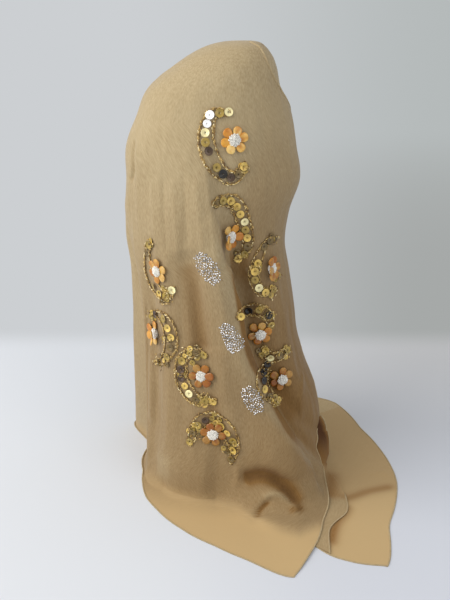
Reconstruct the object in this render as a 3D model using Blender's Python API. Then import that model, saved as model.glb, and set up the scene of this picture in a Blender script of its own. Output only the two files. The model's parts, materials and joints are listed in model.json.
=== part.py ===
# A square chiffon scarf draped as a hijab over a smooth head-form display stand.
# Metres, +Z up. The origin is on the table under the middle of the stand; -Y is the side
# that shows the embroidered panel, +X is the way the head form faces.

import math

import bpy
import numpy as np
from mathutils.bvhtree import BVHTree

MM = 0.001

# The cloth wall and the gaps that part one stretch or layer from the next, in mm
CLOTH_WALL = 1.2
SEAM_GAP = 0.35
LAYER_GAP = 1.0
SEAM_LEVEL = 0.025

# How far the far stretch goes in under the near one, in mm: everywhere, more from LOW_LEVEL
# down, and more again where the near one hides it. It starts and is hidden at these directions
# and over these many degrees.
TUCK = 5.0
LOW_TUCK = 2.5
LOW_LEVEL = 11.0
DEEP_TUCK = 11.0
DEEP_LEVEL = 8.0
TUCK_TURN = -292.0
TUCK_RUN = 34.0
HIDDEN_TURN = -374.0
HIDDEN_RUN = 14.0

# The near stretch lies on the tail on this side of a direction, reached over these degrees
OVER_TAIL_TURN = -70.0
OVER_TAIL_RUN = 8.0

# The curve from the wall on to the table: its share of the way out, how far out its control
# point is, and how much of the height that one keeps
FOOT_SHARE = 0.4
FOOT_BEND = 0.45
FOOT_SAG = 0.12

# How far apart the points are that a normal is worked out from
NORMAL_LEVEL = 0.04
NORMAL_TURN = 0.6

# The stand, in mm
HEAD_HALF_LENGTH = 72.0
HEAD_HALF_WIDTH = 62.0
HEAD_TOP = 498.6
HEAD_MIDDLE = 388.0
HEAD_LEAN = 0.2
HEAD_SHIFT = -3.0
HEAD_BOTTOM = 290.0
NECK_RADIUS = 44.0
NECK_FLARE = 52.0
FLARE_HEIGHT = 70.0
JOIN_POWER = 6
BASE_RADIUS = 68.0
BASE_THICKNESS = 14.0
BASE_EDGE = 3.0

# Level sections of the drape from the crown down. Lengths in mm from the section's centre,
# then the directions (degrees, 0 is +X, -90 is towards the camera) that the columns of the
# mesh follow: the near hem, the main ridge, the left fold and the groove behind it. "lap" is
# how many degrees the far hem has gone round under the near one.
SECTION_COLUMNS = (
    "height", "centre", "right", "left", "front", "back",
    "near_hem", "ridge", "fold", "groove", "lap",
)
SECTIONS = (
    (501.0, 34, 0, 0, 0, 0, -15, -90, -160, -205, 0),
    (499.8, 32, 17, 21, 16, 16, -15, -90, -160, -205, 2),
    (493.5, 26, 33, 41, 34, 34, -15, -90, -160, -205, 8),
    (478.0, 17, 50, 58, 50, 50, -10, -90, -160, -205, 15),
    (454.0, 7, 71, 75, 62, 62, 2, -90, -160, -205, 22),
    (424.0, 2, 85, 85, 71, 70, 10, -91, -160, -200, 24),
    (392.0, 0, 93, 95, 76, 73, 15, -97, -160, -195, 25),
    (358.0, 0, 98, 95, 78, 74, 18, -94, -160, -190, 24),
    (322.0, 0, 87, 96, 79, 76, 18, -90, -160, -186, 24),
    (286.0, 0, 81, 93, 81, 79, 17, -86, -160, -182, 25),
    (248.0, 0, 86, 85, 84, 83, 15, -82, -160, -180, 25),
    (210.0, 0, 93, 82, 88, 87, 12, -77, -160, -180, 25),
    (172.0, 0, 99, 81, 92, 91, 8, -71, -159, -180, 25),
    (134.0, 0, 107, 82, 97, 95, 3, -65, -157, -180, 25),
    (98.0, 0, 119, 83, 102, 99, -2, -58, -155, -180, 28),
    (64.0, 0, 132, 84, 108, 104, -8, -50, -152, -180, 30),
    (34.0, 0, 141, 85, 113, 108, -12, -40, -148, -180, 36),
)

# Where the cloth meets the table and where its hem lies, by direction, in mm from the
# stand's axis. Directions run on past -360 where the far stretch lies under the near one.
FLOOR_COLUMNS = ("direction", "contact", "hem")
FLOOR = (
    (30, 150, 214), (-17, 150, 214), (-30, 158, 218), (-42, 174, 224), (-58, 176, 237),
    (-66, 163, 242), (-70.5, 152, 243), (-74, 138, 228), (-79, 124, 207), (-89, 109, 181),
    (-103, 103, 157), (-118, 104, 137), (-127, 106, 129), (-137, 108, 117),
    (-150, 99, 102), (-165, 92, 96), (-180, 84, 88), (-193, 86, 90), (-203, 108, 112),
    (-212, 130, 135), (-223, 117, 123), (-243, 128, 136), (-256, 110, 118),
    (-270, 124, 134), (-287, 116, 136), (-300, 130, 164), (-315, 131, 196), (-326, 133, 213),
    (-347, 136, 207), (-360, 140, 217), (-378, 146, 235), (-387, 149, 240),
    (-398, 151, 247), (-409.6, 154, 281), (-430, 154, 290),
)

# The followed lines below the last section, by how far the level has run on: the cloth curves
# on to the table over the first 0.4 and lies on it up to the hem at 1
FLOOR_RUN_COLUMNS = ("run", "near_hem", "ridge", "fold", "groove", "far_hem")
FLOOR_RUN = (
    (0.0, -12, -40, -148, -180, -407.8),
    (0.16, -26, -47, -147, -180, -413),
    (0.28, -34, -53, -146, -180, -417),
    (0.4, -41, -58, -144, -180, -420),
    (0.47, -46, -62, -143.5, -180, -421),
    (0.56, -50, -66, -143, -180, -421),
    (0.78, -59, -75, -141, -180, -418),
    (0.91, -65, -81, -139.5, -180, -413.5),
    (1.0, -70.5, -85, -137, -180, -409.6),
)

# Folds: direction and height where each starts and ends, how its path bends (1 is straight),
# its rise in mm (a valley's is negative), and its width in mm towards the near hem and
# towards the far hem.
FOLD_COLUMNS = (
    "name", "top_turn", "top", "end_turn", "end", "bend", "rise", "near_side", "far_side",
)
FOLDS = (
    ("main_ridge", -99, 430, -9, 0, 0.42, 13.0, 8, 34),
    ("recess", -76, 380, 8, 30, 0.42, -8.0, 14, 12),
    ("front_valley", -104, 330, -92, 120, 1.0, -4.0, 12, 10),
    ("left_light", -128, 400, -118, 0, 1.0, 3.5, 16, 20),
    ("left_hollow", -145, 300, -136, 40, 1.0, -3.0, 10, 12),
    ("left_fold", -161, 330, -146, 0, 1.0, 6.0, 12, 10),
    ("groove", -181, 320, -181, 0, 1.0, -8.0, 12, 12),
    ("back_left", -206, 410, -211, 0, 1.0, 33.0, 20, 20),
    ("nape", -190, 420, -192, 340, 1.0, 4.0, 26, 26),
    ("back_valley", -228, 320, -226, 0, 1.0, -8.0, 12, 13),
    ("back_ridge", -246, 390, -242, 0, 1.0, 12.0, 11, 13),
    ("back_dip", -257, 300, -256, 0, 1.0, -7.0, 10, 11),
    ("back_fold", -272, 350, -270, 0, 1.0, 11.0, 10, 13),
    ("side_dip", -287, 260, -286, 0, 1.0, -8.0, 11, 11),
    ("side_fold", -303, 410, -301, 0, 1.0, 10.0, 12, 14),
    ("side_soft", -324, 300, -320, 0, 1.0, -5.0, 12, 14),
    ("far_fold", -341, 360, -338, 0, 1.0, 5.0, 12, 13),
    ("skirt", -60, 130, -50, 0, 1.0, 20.0, 36, 40),
    ("knee", -88, 110, -84, 0, 1.0, -6.0, 18, 16),
)
FOLD_FADE = 100.0

# Flowers on the near stretch: direction and height of the middle, size across and turn
FLOWER_COLUMNS = ("direction", "height", "across", "turn")
FLOWERS = (
    (-72.7, 408, 29, 10),
    (-75.4, 308, 29, 30),
    (-129.5, 271, 29, 20),
    (-38.2, 271, 29, 0),
    (-51.4, 195, 29, 15),
    (-140.3, 192, 29, 40),
    (-96.3, 156, 29, 5),
    (-37.2, 136, 29, 25),
    (-89.7, 88, 29, 50),
)
PETALS = 6
FLOWER_SEGMENTS = 12
FLOWER_GAP = 0.9

# A flower is stiffer than the cloth: each of its points stands on the highest of five spots
FLOWER_FEELERS = ((0.0, 0.0), (3.0, 0.0), (-3.0, 0.0), (0.0, 3.0), (0.0, -3.0))
FLOWER_SINK = 16.0

# Rings of a flower: share of its radius, height above the cloth in mm, and how much of the
# ring follows the petals' outline
FLOWER_RING_COLUMNS = ("share", "rise", "petal")
FLOWER_RINGS = (
    (0.22, 4.8, 0.0),
    (0.42, 2.0, 0.0),
    (0.72, 2.4, 0.6),
    (1.0, 1.3, 1.0),
)
DOME_TOP = 5.6

# The second layer, which lies on the tail: its visible edge and its hidden one, each by
# direction and level (section number, 0.4 more at the foot, 1 more at the hem), and its lift
UNDER_COLUMNS = ("edge", "edge_level", "hidden", "hidden_level", "lift")
UNDER = (
    (-368.0, 15.00, -384, 15.00, 0.4),
    (-371.5, 15.60, -388, 15.60, 2.0),
    (-375.5, 16.12, -397, 16.10, 1.6),
    (-381.0, 16.43, -408, 16.40, 0.1),
    (-388.0, 16.56, -411, 16.44, 0.0),
    (-393.7, 16.64, -413, 16.47, 0.0),
    (-399.8, 16.69, -415, 16.50, 0.0),
    (-407.0, 16.64, -417, 16.52, 0.0),
    (-412.0, 16.65, -418.5, 16.55, 0.0),
    (-415.6, 16.72, -419.5, 16.62, 0.0),
)
UNDER_STEPS_ALONG = 20
UNDER_STEPS_ACROSS = 6

# Mesh density: the first rows, which go all round the crown, then columns between the
# followed lines and rows down the drape
CAP_ROWS = (0.45, 1.0)
HEM_TO_RIDGE = 15
RIDGE_TO_FOLD = 13
FOLD_TO_GROOVE = 5
BACK_STEPS = 20
TAIL_STEPS = 17
WALL_STEPS = 29
FLOOR_LEVELS = (0.06, 0.12, 0.18, 0.24, 0.32, 0.4, 0.48, 0.6, 0.8, 1.0)
BACK_SPLIT = -300.0
STAND_SEGMENTS = 32
STAND_RINGS = 20
CLOSE_END = 0.3


def clear_scene():
    for item in list(bpy.data.objects):
        bpy.data.objects.remove(item, do_unlink=True)


def make_material(name, colour, roughness, metallic=0.0):
    material = bpy.data.materials.new(name)
    material.use_nodes = True
    shader = material.node_tree.nodes["Principled BSDF"]
    shader.inputs["Base Color"].default_value = (*colour, 1.0)
    shader.inputs["Roughness"].default_value = roughness
    shader.inputs["Metallic"].default_value = metallic
    return material


def table(rows, columns):
    values = np.array(rows, dtype=float)
    return {name: values[:, i] for i, name in enumerate(columns)}


def smooth_step(value):
    value = np.clip(value, 0.0, 1.0)
    return value * value * (3.0 - 2.0 * value)


def spline(rows, at):
    # Catmull-Rom through equally spaced rows, which already have a ghost row at each end
    base = np.clip(np.floor(at).astype(int), 0, len(rows) - 4)
    t = at - base
    p0, p1, p2, p3 = (rows[base + k] for k in range(4))
    return 0.5 * (
        2.0 * p1
        + (p2 - p0) * t
        + (2.0 * p0 - 5.0 * p1 + 4.0 * p2 - p3) * t ** 2
        + (3.0 * p1 - p0 - 3.0 * p2 + p3) * t ** 3
    )


SECTION_TABLE = table(SECTIONS, SECTION_COLUMNS)
FLOOR_TABLE = table(FLOOR, FLOOR_COLUMNS)
FLOOR_RUN_TABLE = table(FLOOR_RUN, FLOOR_RUN_COLUMNS)
WALL_END = len(SECTIONS) - 1


def ghosted(name):
    # The half sizes mirror through the crown point, so that the dome is smooth there
    column = SECTION_TABLE[name]
    mirrored = name in ("right", "left", "front", "back")
    first = -column[1] if mirrored else column[1]
    return np.concatenate([[first], column, [2.0 * column[-1] - column[-2]]])


SECTION_SPLINES = {name: ghosted(name) for name in SECTION_COLUMNS}


def section(name, level):
    return spline(SECTION_SPLINES[name], np.clip(level, 0.0, WALL_END))


def level_at(height):
    levels = np.linspace(0.0, WALL_END, 1601)
    return np.interp(-height, -section("height", levels), levels)


def fold_rise(turn, height, radius):
    # The sum of the folds at a direction and height: each is a bump across its own path
    total = np.zeros_like(turn)
    for row in FOLDS:
        fold = dict(zip(FOLD_COLUMNS, row))
        span = fold["top"] - fold["end"]
        up = np.clip((height - fold["end"]) / span, 0.0, 1.0)
        path = fold["end_turn"] + (fold["top_turn"] - fold["end_turn"]) * up ** fold["bend"]
        off = np.radians((turn - path + 180.0) % 360.0 - 180.0) * radius
        width = np.where(off > 0.0, fold["near_side"], fold["far_side"])
        fade = smooth_step((fold["top"] - height) / min(FOLD_FADE, span))
        if fold["end"] > 0.0:
            fade = fade * smooth_step((height - fold["end"]) / min(FOLD_FADE, span) + 0.2)
        total = total + fold["rise"] * fade * np.exp(-((off / width) ** 2))
    return total


def wall_point(turn, level):
    # A point of the hanging cloth: the section's four-part ellipse, plus the folds. The far
    # stretch is tucked in under the near one and plain where that hides it.
    angle = np.radians(turn)
    c, s = np.cos(angle), np.sin(angle)
    half_x = np.where(c > 0.0, section("right", level), section("left", level))
    half_y = np.where(s > 0.0, section("back", level), section("front", level))
    radius = 1.0 / np.hypot(c / np.maximum(half_x, 1e-4), s / np.maximum(half_y, 1e-4))
    height = section("height", level)
    hidden = smooth_step((HIDDEN_TURN - turn) / HIDDEN_RUN)
    radius = radius + fold_rise(turn, height, np.maximum(radius, 20.0)) * (1.0 - hidden)
    deep = DEEP_TUCK * hidden * smooth_step((level - DEEP_LEVEL) / 4.0)
    tuck = TUCK + LOW_TUCK * smooth_step((level - LOW_LEVEL) / 3.0) + deep
    tuck = tuck * smooth_step((TUCK_TURN - turn) / TUCK_RUN) * smooth_step((level - 1.0) / 1.2)
    upright = smooth_step((level - 1.0) / 4.0)
    radius = radius - tuck * (0.4 + 0.6 * upright)
    height = height - tuck * (1.0 - upright)
    return section("centre", level) + radius * c, radius * s, height


def over_tail(turn):
    # 1 where the near stretch lies on the tail and the second layer, 0 where it is on the table
    return smooth_step((turn - OVER_TAIL_TURN) / OVER_TAIL_RUN)


def floor_point(turn, run):
    # From the end of the wall round a soft foot and out to the hem; run goes from 0 to 1
    x0, y0, z0 = wall_point(turn, np.full_like(turn, float(WALL_END)))
    start = np.hypot(x0, y0)
    contact = np.interp(-turn, -FLOOR_TABLE["direction"], FLOOR_TABLE["contact"])
    hem = np.interp(-turn, -FLOOR_TABLE["direction"], FLOOR_TABLE["hem"])
    contact = np.maximum(contact, start + 1.0)
    hem = np.maximum(hem, contact + 3.0)
    rest = CLOTH_WALL + over_tail(turn) * 2.0 * (CLOTH_WALL + LAYER_GAP)
    foot = np.clip(run / FOOT_SHARE, 0.0, 1.0)
    out = np.clip((run - FOOT_SHARE) / (1.0 - FOOT_SHARE), 0.0, 1.0)
    bend = start + FOOT_BEND * (contact - start)
    low = rest + FOOT_SAG * (z0 - rest)
    weights = ((1.0 - foot) ** 2, 2.0 * foot * (1.0 - foot), foot ** 2)
    radius = weights[0] * start + weights[1] * bend + weights[2] * contact
    radius = radius + out * (hem - contact)
    height = weights[0] * z0 + weights[1] * low + weights[2] * rest
    angle = np.radians(turn)
    return radius * np.cos(angle), radius * np.sin(angle), height


def drape_point(turn, level):
    # The level counts sections down the wall and then runs one more unit along the table
    turn, level = np.broadcast_arrays(np.asarray(turn, float), np.asarray(level, float))
    wall = np.stack(wall_point(turn, level), axis=-1)
    floor = np.stack(floor_point(turn, np.clip(level - WALL_END, 0.0, 1.0)), axis=-1)
    return np.where((level > WALL_END)[..., None], floor, wall)


def drape_normal(turn, level):
    # Away from the stand, or up from the table: across the columns times down the rows
    turn, level = np.broadcast_arrays(np.asarray(turn, float), np.asarray(level, float))
    above = np.maximum(level - NORMAL_LEVEL, 0.0)
    below = np.minimum(np.maximum(level, NORMAL_LEVEL) + NORMAL_LEVEL, WALL_END + 1.0)
    down = drape_point(turn, below) - drape_point(turn, above)
    across = drape_point(turn - NORMAL_TURN, level) - drape_point(turn + NORMAL_TURN, level)
    normal = np.cross(across, down)
    length = np.linalg.norm(normal, axis=-1, keepdims=True)
    return np.where(length > 1e-9, normal / np.maximum(length, 1e-9), (0.0, 0.0, 1.0))


def wall_line(name, level):
    if name != "far_hem":
        return section(name, level)
    lap = section("lap", level) * smooth_step((level - 1.4) / 0.8)
    return section("near_hem", level) - 360.0 + seam_turn(level) - lap


def line(name, level):
    # Direction of a followed line at a level
    run = np.clip(level - WALL_END, 0.0, 1.0)
    below = np.interp(run, FLOOR_RUN_TABLE["run"], FLOOR_RUN_TABLE[name])
    return np.where(level > WALL_END, below, wall_line(name, level))


def seam_turn(level):
    # The gap between two stretches as an angle
    return np.degrees(SEAM_GAP / np.maximum(section("left", level), 10.0))


def stretch(levels, lines, steps):
    # Points and normals of a stretch: columns spread evenly between the followed lines
    parts = []
    for start, end, count in zip(lines, lines[1:], steps):
        share = np.arange(count) / count
        parts.append(start[:, None] + (end - start)[:, None] * share)
    parts.append(lines[-1][:, None])
    turn = np.concatenate(parts, axis=1)
    return drape_point(turn, levels[:, None]), drape_normal(turn, levels[:, None])


def levels_from(first):
    wall = first + (WALL_END - first) * np.linspace(0.0, 1.0, WALL_STEPS + 1)
    floor = WALL_END + np.array(FLOOR_LEVELS)
    return np.concatenate([wall, floor])


def grid_faces(index):
    # Quads over a grid of vertex numbers, rows going down and columns towards the far hem
    corners = (index[:-1, :-1], index[:-1, 1:], index[1:, 1:], index[1:, :-1])
    return np.stack(corners, axis=-1).reshape(-1, 4).tolist()


def grid_index(points):
    return np.arange(points.shape[0] * points.shape[1]).reshape(points.shape[:2])


def open_edges(faces):
    # Edges that only one face uses, in that face's own direction
    used = {edge: True for face in faces for edge in zip(face, face[1:] + face[:1])}
    return [edge for edge in used if (edge[1], edge[0]) not in used]


def make_object(name, points, faces, material):
    mesh = bpy.data.meshes.new(name)
    mesh.from_pydata((points * MM).tolist(), [], faces)
    mesh.materials.append(material)
    mesh.shade_smooth()
    item = bpy.data.objects.new(name, mesh)
    bpy.context.scene.collection.objects.link(item)
    return item


def close_wall(name, outer, inner, faces, material):
    # A closed body: the outer faces, the inner ones turned round, a strip on each open edge
    count = len(outer)
    every = faces + [[corner + count for corner in reversed(face)] for face in faces]
    for first, second in open_edges(faces):
        every.append([second, first, first + count, second + count])
    return make_object(name, np.concatenate([outer, inner]), every, material)


def cloth_wall(name, outer, normals, faces, material):
    inner = outer - normals * CLOTH_WALL
    resting = outer[:, 2] < CLOTH_WALL + 0.01
    inner[:, 2] = np.where(resting, 0.0, np.maximum(inner[:, 2], 0.0))
    return close_wall(name, outer, inner, faces, material)


def near_stretch(material):
    # The crown, which goes all round, and below it the part from the near hem to the groove
    cap_levels = np.array(CAP_ROWS)
    names = ("near_hem", "ridge", "fold", "groove")
    steps = (HEM_TO_RIDGE, RIDGE_TO_FOLD, FOLD_TO_GROOVE, BACK_STEPS + TAIL_STEPS)
    round_lines = [line(name, cap_levels) for name in names]
    round_lines.append(round_lines[0] - 360.0)
    cap, cap_normals = (v[:, :-1] for v in stretch(cap_levels, round_lines, steps))
    fall_levels = levels_from(cap_levels[-1])[1:]
    fall, fall_normals = stretch(fall_levels, [line(name, fall_levels) for name in names], steps)
    crown = drape_point([0.0], [0.0])
    points = np.concatenate([crown, cap.reshape(-1, 3), fall.reshape(-1, 3)])
    upright = [[0.0, 0.0, 1.0]]
    normals = np.concatenate([upright, cap_normals.reshape(-1, 3), fall_normals.reshape(-1, 3)])
    cap_index = grid_index(cap) + 1
    cap_index = np.concatenate([cap_index, cap_index[:, :1]], axis=1)
    fall_index = grid_index(fall) + 1 + cap.shape[0] * cap.shape[1]
    first_row = cap_index[-1:, :fall.shape[1]]
    faces = [[0, int(b), int(a)] for a, b in zip(cap_index[0], cap_index[0, 1:])]
    faces += grid_faces(cap_index) + grid_faces(np.concatenate([first_row, fall_index]))
    cloth_wall("drape_near", points, normals, faces, material)
    return BVHTree.FromPolygons(points.tolist(), faces)


def plain_stretch(name, lines, steps, levels, material):
    points, normals = stretch(levels, lines, steps)
    faces = grid_faces(grid_index(points))
    cloth_wall(name, points.reshape(-1, 3), normals.reshape(-1, 3), faces, material)


def back_and_tail(material):
    # Both start just below the crown's edge and part at a line that the head form hides
    levels = levels_from(CAP_ROWS[-1] + SEAM_LEVEL)
    gap = seam_turn(levels)
    split = np.full_like(levels, BACK_SPLIT)
    back = [line("groove", levels) - gap, split]
    tail = [split - gap, line("far_hem", levels)]
    plain_stretch("drape_back", back, (BACK_STEPS,), levels, material)
    plain_stretch("drape_tail", tail, (TAIL_STEPS,), levels, material)


def under_layer(material):
    # The second layer between the near stretch and the tail, made from the tail's points
    rows = table(UNDER, UNDER_COLUMNS)
    along = np.linspace(0.0, len(UNDER) - 1.0, UNDER_STEPS_ALONG + 1)
    across = np.linspace(0.0, 1.0, UNDER_STEPS_ACROSS + 1)
    ends = {
        name: np.concatenate([[2.0 * v[0] - v[1]], v, [2.0 * v[-1] - v[-2]]])
        for name, v in rows.items()
    }
    value = {name: spline(column, along)[:, None] for name, column in ends.items()}
    turn = value["edge"] + (value["hidden"] - value["edge"]) * across
    level = value["edge_level"] + (value["hidden_level"] - value["edge_level"]) * across
    normals = drape_normal(turn, level)
    lift = LAYER_GAP + value["lift"] * (1.0 - across) ** 2
    inner = drape_point(turn, level) + normals * lift[..., None]
    outer = inner + normals * CLOTH_WALL
    faces = grid_faces(grid_index(outer))
    close_wall("tail_fold", outer.reshape(-1, 3), inner.reshape(-1, 3), faces, material)


def flower(number, place, tree, material):
    # Petals and bead dome in one body, standing off the near stretch's own faces
    level = level_at(place["height"])
    turn = place["direction"]
    middle = drape_point(turn, level)
    aside = drape_point(turn - 2.0, level) - drape_point(turn + 2.0, level)
    below = drape_point(turn, level + 0.1) - drape_point(turn, level - 0.1)
    facing = np.cross(aside, below)
    facing = facing / np.linalg.norm(facing)
    right = np.cross((0.0, 0.0, 1.0), facing)
    right = right / np.linalg.norm(right)
    up = np.cross(facing, right)
    rings = table(FLOWER_RINGS, FLOWER_RING_COLUMNS)
    angle = np.linspace(0.0, 2.0 * math.pi, FLOWER_SEGMENTS, endpoint=False)
    petal = 0.68 + 0.32 * np.abs(np.cos(PETALS / 2.0 * angle))
    radius = rings["share"][:, None] * (1.0 + rings["petal"][:, None] * (petal - 1.0))
    radius = radius * place["across"] / 2.0
    angle = angle + math.radians(place["turn"])
    flat_x = np.concatenate([[0.0], (radius * np.cos(angle)).ravel()])
    flat_y = np.concatenate([[0.0], (radius * np.sin(angle)).ravel()])
    rise = np.concatenate([[DOME_TOP], np.repeat(rings["rise"], FLOWER_SEGMENTS)])
    base = []
    for x, y in zip(flat_x, flat_y):
        highest = -FLOWER_SINK
        for aside_x, aside_y in FLOWER_FEELERS:
            over = middle + right * (x + aside_x) + up * (y + aside_y) + facing * FLOWER_SINK
            hit = tree.ray_cast(over.tolist(), (-facing).tolist(), 2.0 * FLOWER_SINK)
            if hit[0] is not None:
                highest = max(highest, FLOWER_SINK - hit[3])
        base.append(middle + right * x + up * y + facing * (highest + FLOWER_GAP))
    base = np.array(base)
    top = base + facing * rise[:, None]
    ring_index = 1 + np.arange(len(rise) - 1).reshape(-1, FLOWER_SEGMENTS)
    ring_index = np.concatenate([ring_index, ring_index[:, :1]], axis=1)
    faces = [[0, int(a), int(b)] for a, b in zip(ring_index[0], ring_index[0, 1:])]
    faces += [face[::-1] for face in grid_faces(ring_index)]
    close_wall(f"flower_{number}", top, base, faces, material)


def lathe(name, rings, material):
    # Rings of (height, centre, half length, half width), closed by a flat cap at each end
    angle = np.linspace(0.0, 2.0 * math.pi, STAND_SEGMENTS, endpoint=False)
    points = [
        (centre + half_x * c, half_y * s, height)
        for height, centre, half_x, half_y in rings
        for c, s in zip(np.cos(angle), np.sin(angle))
    ]
    index = np.arange(len(points)).reshape(-1, STAND_SEGMENTS)
    index = np.concatenate([index, index[:, :1]], axis=1)
    faces = grid_faces(index)
    faces.append(index[0, -2::-1].tolist())
    faces.append(index[-1, :-1].tolist())
    make_object(name, np.array(points), faces, material)


def stand(material):
    base = (
        (0.0, BASE_RADIUS - BASE_EDGE), (BASE_EDGE, BASE_RADIUS),
        (BASE_THICKNESS - BASE_EDGE, BASE_RADIUS), (BASE_THICKNESS, BASE_RADIUS - BASE_EDGE),
    )
    lathe("form_base", [(height, 0.0, r, r) for height, r in base], material)
    bottom = BASE_THICKNESS + SEAM_GAP
    rings = []
    for share in np.linspace(0.0, 1.0, STAND_RINGS):
        height = bottom + (HEAD_TOP - CLOSE_END - bottom) * math.sin(share * math.pi / 2.0)
        off = (height - HEAD_MIDDLE) / (HEAD_TOP - HEAD_MIDDLE)
        swell = math.sqrt(max(1.0 - off * off, 0.0))
        in_head = float(smooth_step((height - HEAD_BOTTOM) / (HEAD_TOP - HEAD_MIDDLE)))
        flare = float(smooth_step((FLARE_HEIGHT - height) / FLARE_HEIGHT))
        neck = (NECK_RADIUS + (NECK_FLARE - NECK_RADIUS) * flare) * (height < HEAD_MIDDLE)
        half_x, half_y = (
            ((half * swell) ** JOIN_POWER + neck ** JOIN_POWER) ** (1.0 / JOIN_POWER)
            for half in (HEAD_HALF_LENGTH, HEAD_HALF_WIDTH)
        )
        lean = HEAD_SHIFT + HEAD_LEAN * (height - HEAD_MIDDLE)
        rings.append((height, lean * in_head, half_x, half_y))
    lathe("form_head", rings, material)


def main():
    clear_scene()
    chiffon = make_material("chiffon", (0.47, 0.33, 0.17), 0.75)
    petals = make_material("amber_petals", (0.62, 0.24, 0.04), 0.25)
    form = make_material("form_plastic", (0.62, 0.6, 0.57), 0.5)
    stand(form)
    tree = near_stretch(chiffon)
    back_and_tail(chiffon)
    under_layer(chiffon)
    for number, row in enumerate(FLOWERS, start=1):
        flower(number, dict(zip(FLOWER_COLUMNS, row)), tree, petals)


main()
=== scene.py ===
import itertools
import json
import math

import bpy
import numpy as np
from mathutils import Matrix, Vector
from mathutils.bvhtree import BVHTree
from mathutils.kdtree import KDTree

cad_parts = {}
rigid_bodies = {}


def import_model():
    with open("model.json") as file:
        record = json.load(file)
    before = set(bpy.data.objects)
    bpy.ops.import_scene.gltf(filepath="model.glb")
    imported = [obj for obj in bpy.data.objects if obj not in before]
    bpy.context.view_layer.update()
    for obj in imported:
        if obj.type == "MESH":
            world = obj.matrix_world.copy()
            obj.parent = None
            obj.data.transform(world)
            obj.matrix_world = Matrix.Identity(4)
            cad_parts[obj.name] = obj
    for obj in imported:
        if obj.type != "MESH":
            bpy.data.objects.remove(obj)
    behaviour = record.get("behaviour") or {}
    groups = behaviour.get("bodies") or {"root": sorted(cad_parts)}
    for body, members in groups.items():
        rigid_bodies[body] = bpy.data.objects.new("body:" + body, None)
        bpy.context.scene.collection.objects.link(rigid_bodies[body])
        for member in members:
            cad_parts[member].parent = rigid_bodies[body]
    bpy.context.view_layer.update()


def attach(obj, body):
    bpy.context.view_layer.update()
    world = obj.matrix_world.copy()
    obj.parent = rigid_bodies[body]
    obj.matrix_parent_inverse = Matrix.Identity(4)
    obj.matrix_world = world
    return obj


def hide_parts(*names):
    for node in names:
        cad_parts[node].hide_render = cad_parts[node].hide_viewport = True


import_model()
mm = 0.001
print("frame loaded")

# The shape of the drape. Level sections from the crown down: lengths in mm from the section's
# centre, then the directions in degrees (0 is +X, -90 towards the camera) that the columns
# follow. lap is how far the far hem has gone round under the near one.
sectionColumns = (
    "height", "centre", "right", "left", "front", "back",
    "nearHem", "ridge", "fold", "groove", "lap",
)
sections = (
    (501.0, 34, 0, 0, 0, 0, -60, -98, -160, -205, 0),
    (499.8, 32, 17, 21, 16, 16, -60, -98, -160, -205, 2),
    (493.5, 29, 35, 40, 34, 34, -51, -96, -160, -205, 8),
    (478.0, 19, 53, 57, 50, 50, -40, -93, -160, -205, 15),
    (454.0, 7, 71, 75, 62, 62, -21, -90, -160, -205, 22),
    (424.0, 2, 85, 85, 71, 70, 6, -91, -160, -200, 24),
    (392.0, 0, 93, 95, 76, 73, 15, -97, -160, -195, 25),
    (358.0, 0, 98, 95, 78, 74, 18, -94, -160, -190, 24),
    (322.0, 0, 87, 96, 79, 76, 18, -90, -160, -186, 24),
    (286.0, 0, 83.5, 93, 81, 79, 17, -86, -160, -182, 25),
    (248.0, 0, 90, 85, 84, 83, 15, -82, -160, -180, 25),
    (210.0, 0, 96.5, 82, 88, 87, 12, -77, -160, -180, 25),
    (172.0, 0, 102, 81, 92, 91, 8, -71, -159, -180, 25),
    (134.0, 0, 112.5, 82, 97, 95, 3, -65, -157, -180, 25),
    (98.0, 0, 127, 83, 102, 99, -2, -58, -155, -180, 28),
    (64.0, 0, 135, 84, 108, 104, -8, -50, -152, -180, 30),
    (34.0, 0, 141, 85, 113, 108, -21.5, -40, -148, -180, 26.3),
)

# Where the cloth meets the table and where its hem lies, by direction, in mm from the middle
floorColumns = ("direction", "contact", "hem")
floorRows = (
    (30, 150, 214), (-17, 150, 214), (-30, 158, 218), (-42, 174, 224), (-58, 176, 237),
    (-66, 163, 243.5), (-70.5, 152, 246), (-74, 138, 231.5), (-79, 124, 210),
    (-89, 109, 184),
    (-103, 103, 160), (-118, 104, 139.5), (-127, 106, 130.5), (-137, 108, 117),
    (-150, 99, 102), (-165, 92, 96), (-180, 84, 88), (-193, 86, 90), (-203, 104, 108),
    (-212, 120, 124), (-223, 117, 123), (-243, 128, 136), (-256, 110, 118),
    (-270, 124, 134), (-287, 116, 136), (-300, 130, 164), (-315, 131, 196), (-326, 133, 213),
    (-347, 136, 207), (-360, 140, 217), (-378, 146, 235), (-387, 149, 240),
    (-398, 151, 247), (-409.6, 154, 281), (-430, 154, 290),
)

# The followed lines below the last section, by how far the level has run on
runColumns = ("run", "nearHem", "ridge", "fold", "groove", "farHem")
runRows = (
    (0.0, -21.5, -40, -148, -180, -407.8),
    (0.13, -20.4, -45.7, -147.2, -180, -412),
    (0.26, -22.5, -52, -146.2, -180, -416.3),
    (0.36, -29, -56.3, -144.7, -180, -419),
    (0.43, -37.5, -59.7, -143.8, -180, -420.4),
    (0.48, -42.8, -62.4, -143.4, -180, -421),
    (0.54, -47.4, -65.1, -143.1, -180, -421),
    (0.58, -50, -66.8, -142.8, -180, -420.6),
    (0.67, -53.7, -70.5, -142, -180, -419.5),
    (0.77, -58.3, -74.6, -141.1, -180, -418.1),
    (0.88, -64, -79.6, -139.8, -180, -414.5),
    (1.0, -70.5, -85, -137, -180, -409.6),
)

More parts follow.
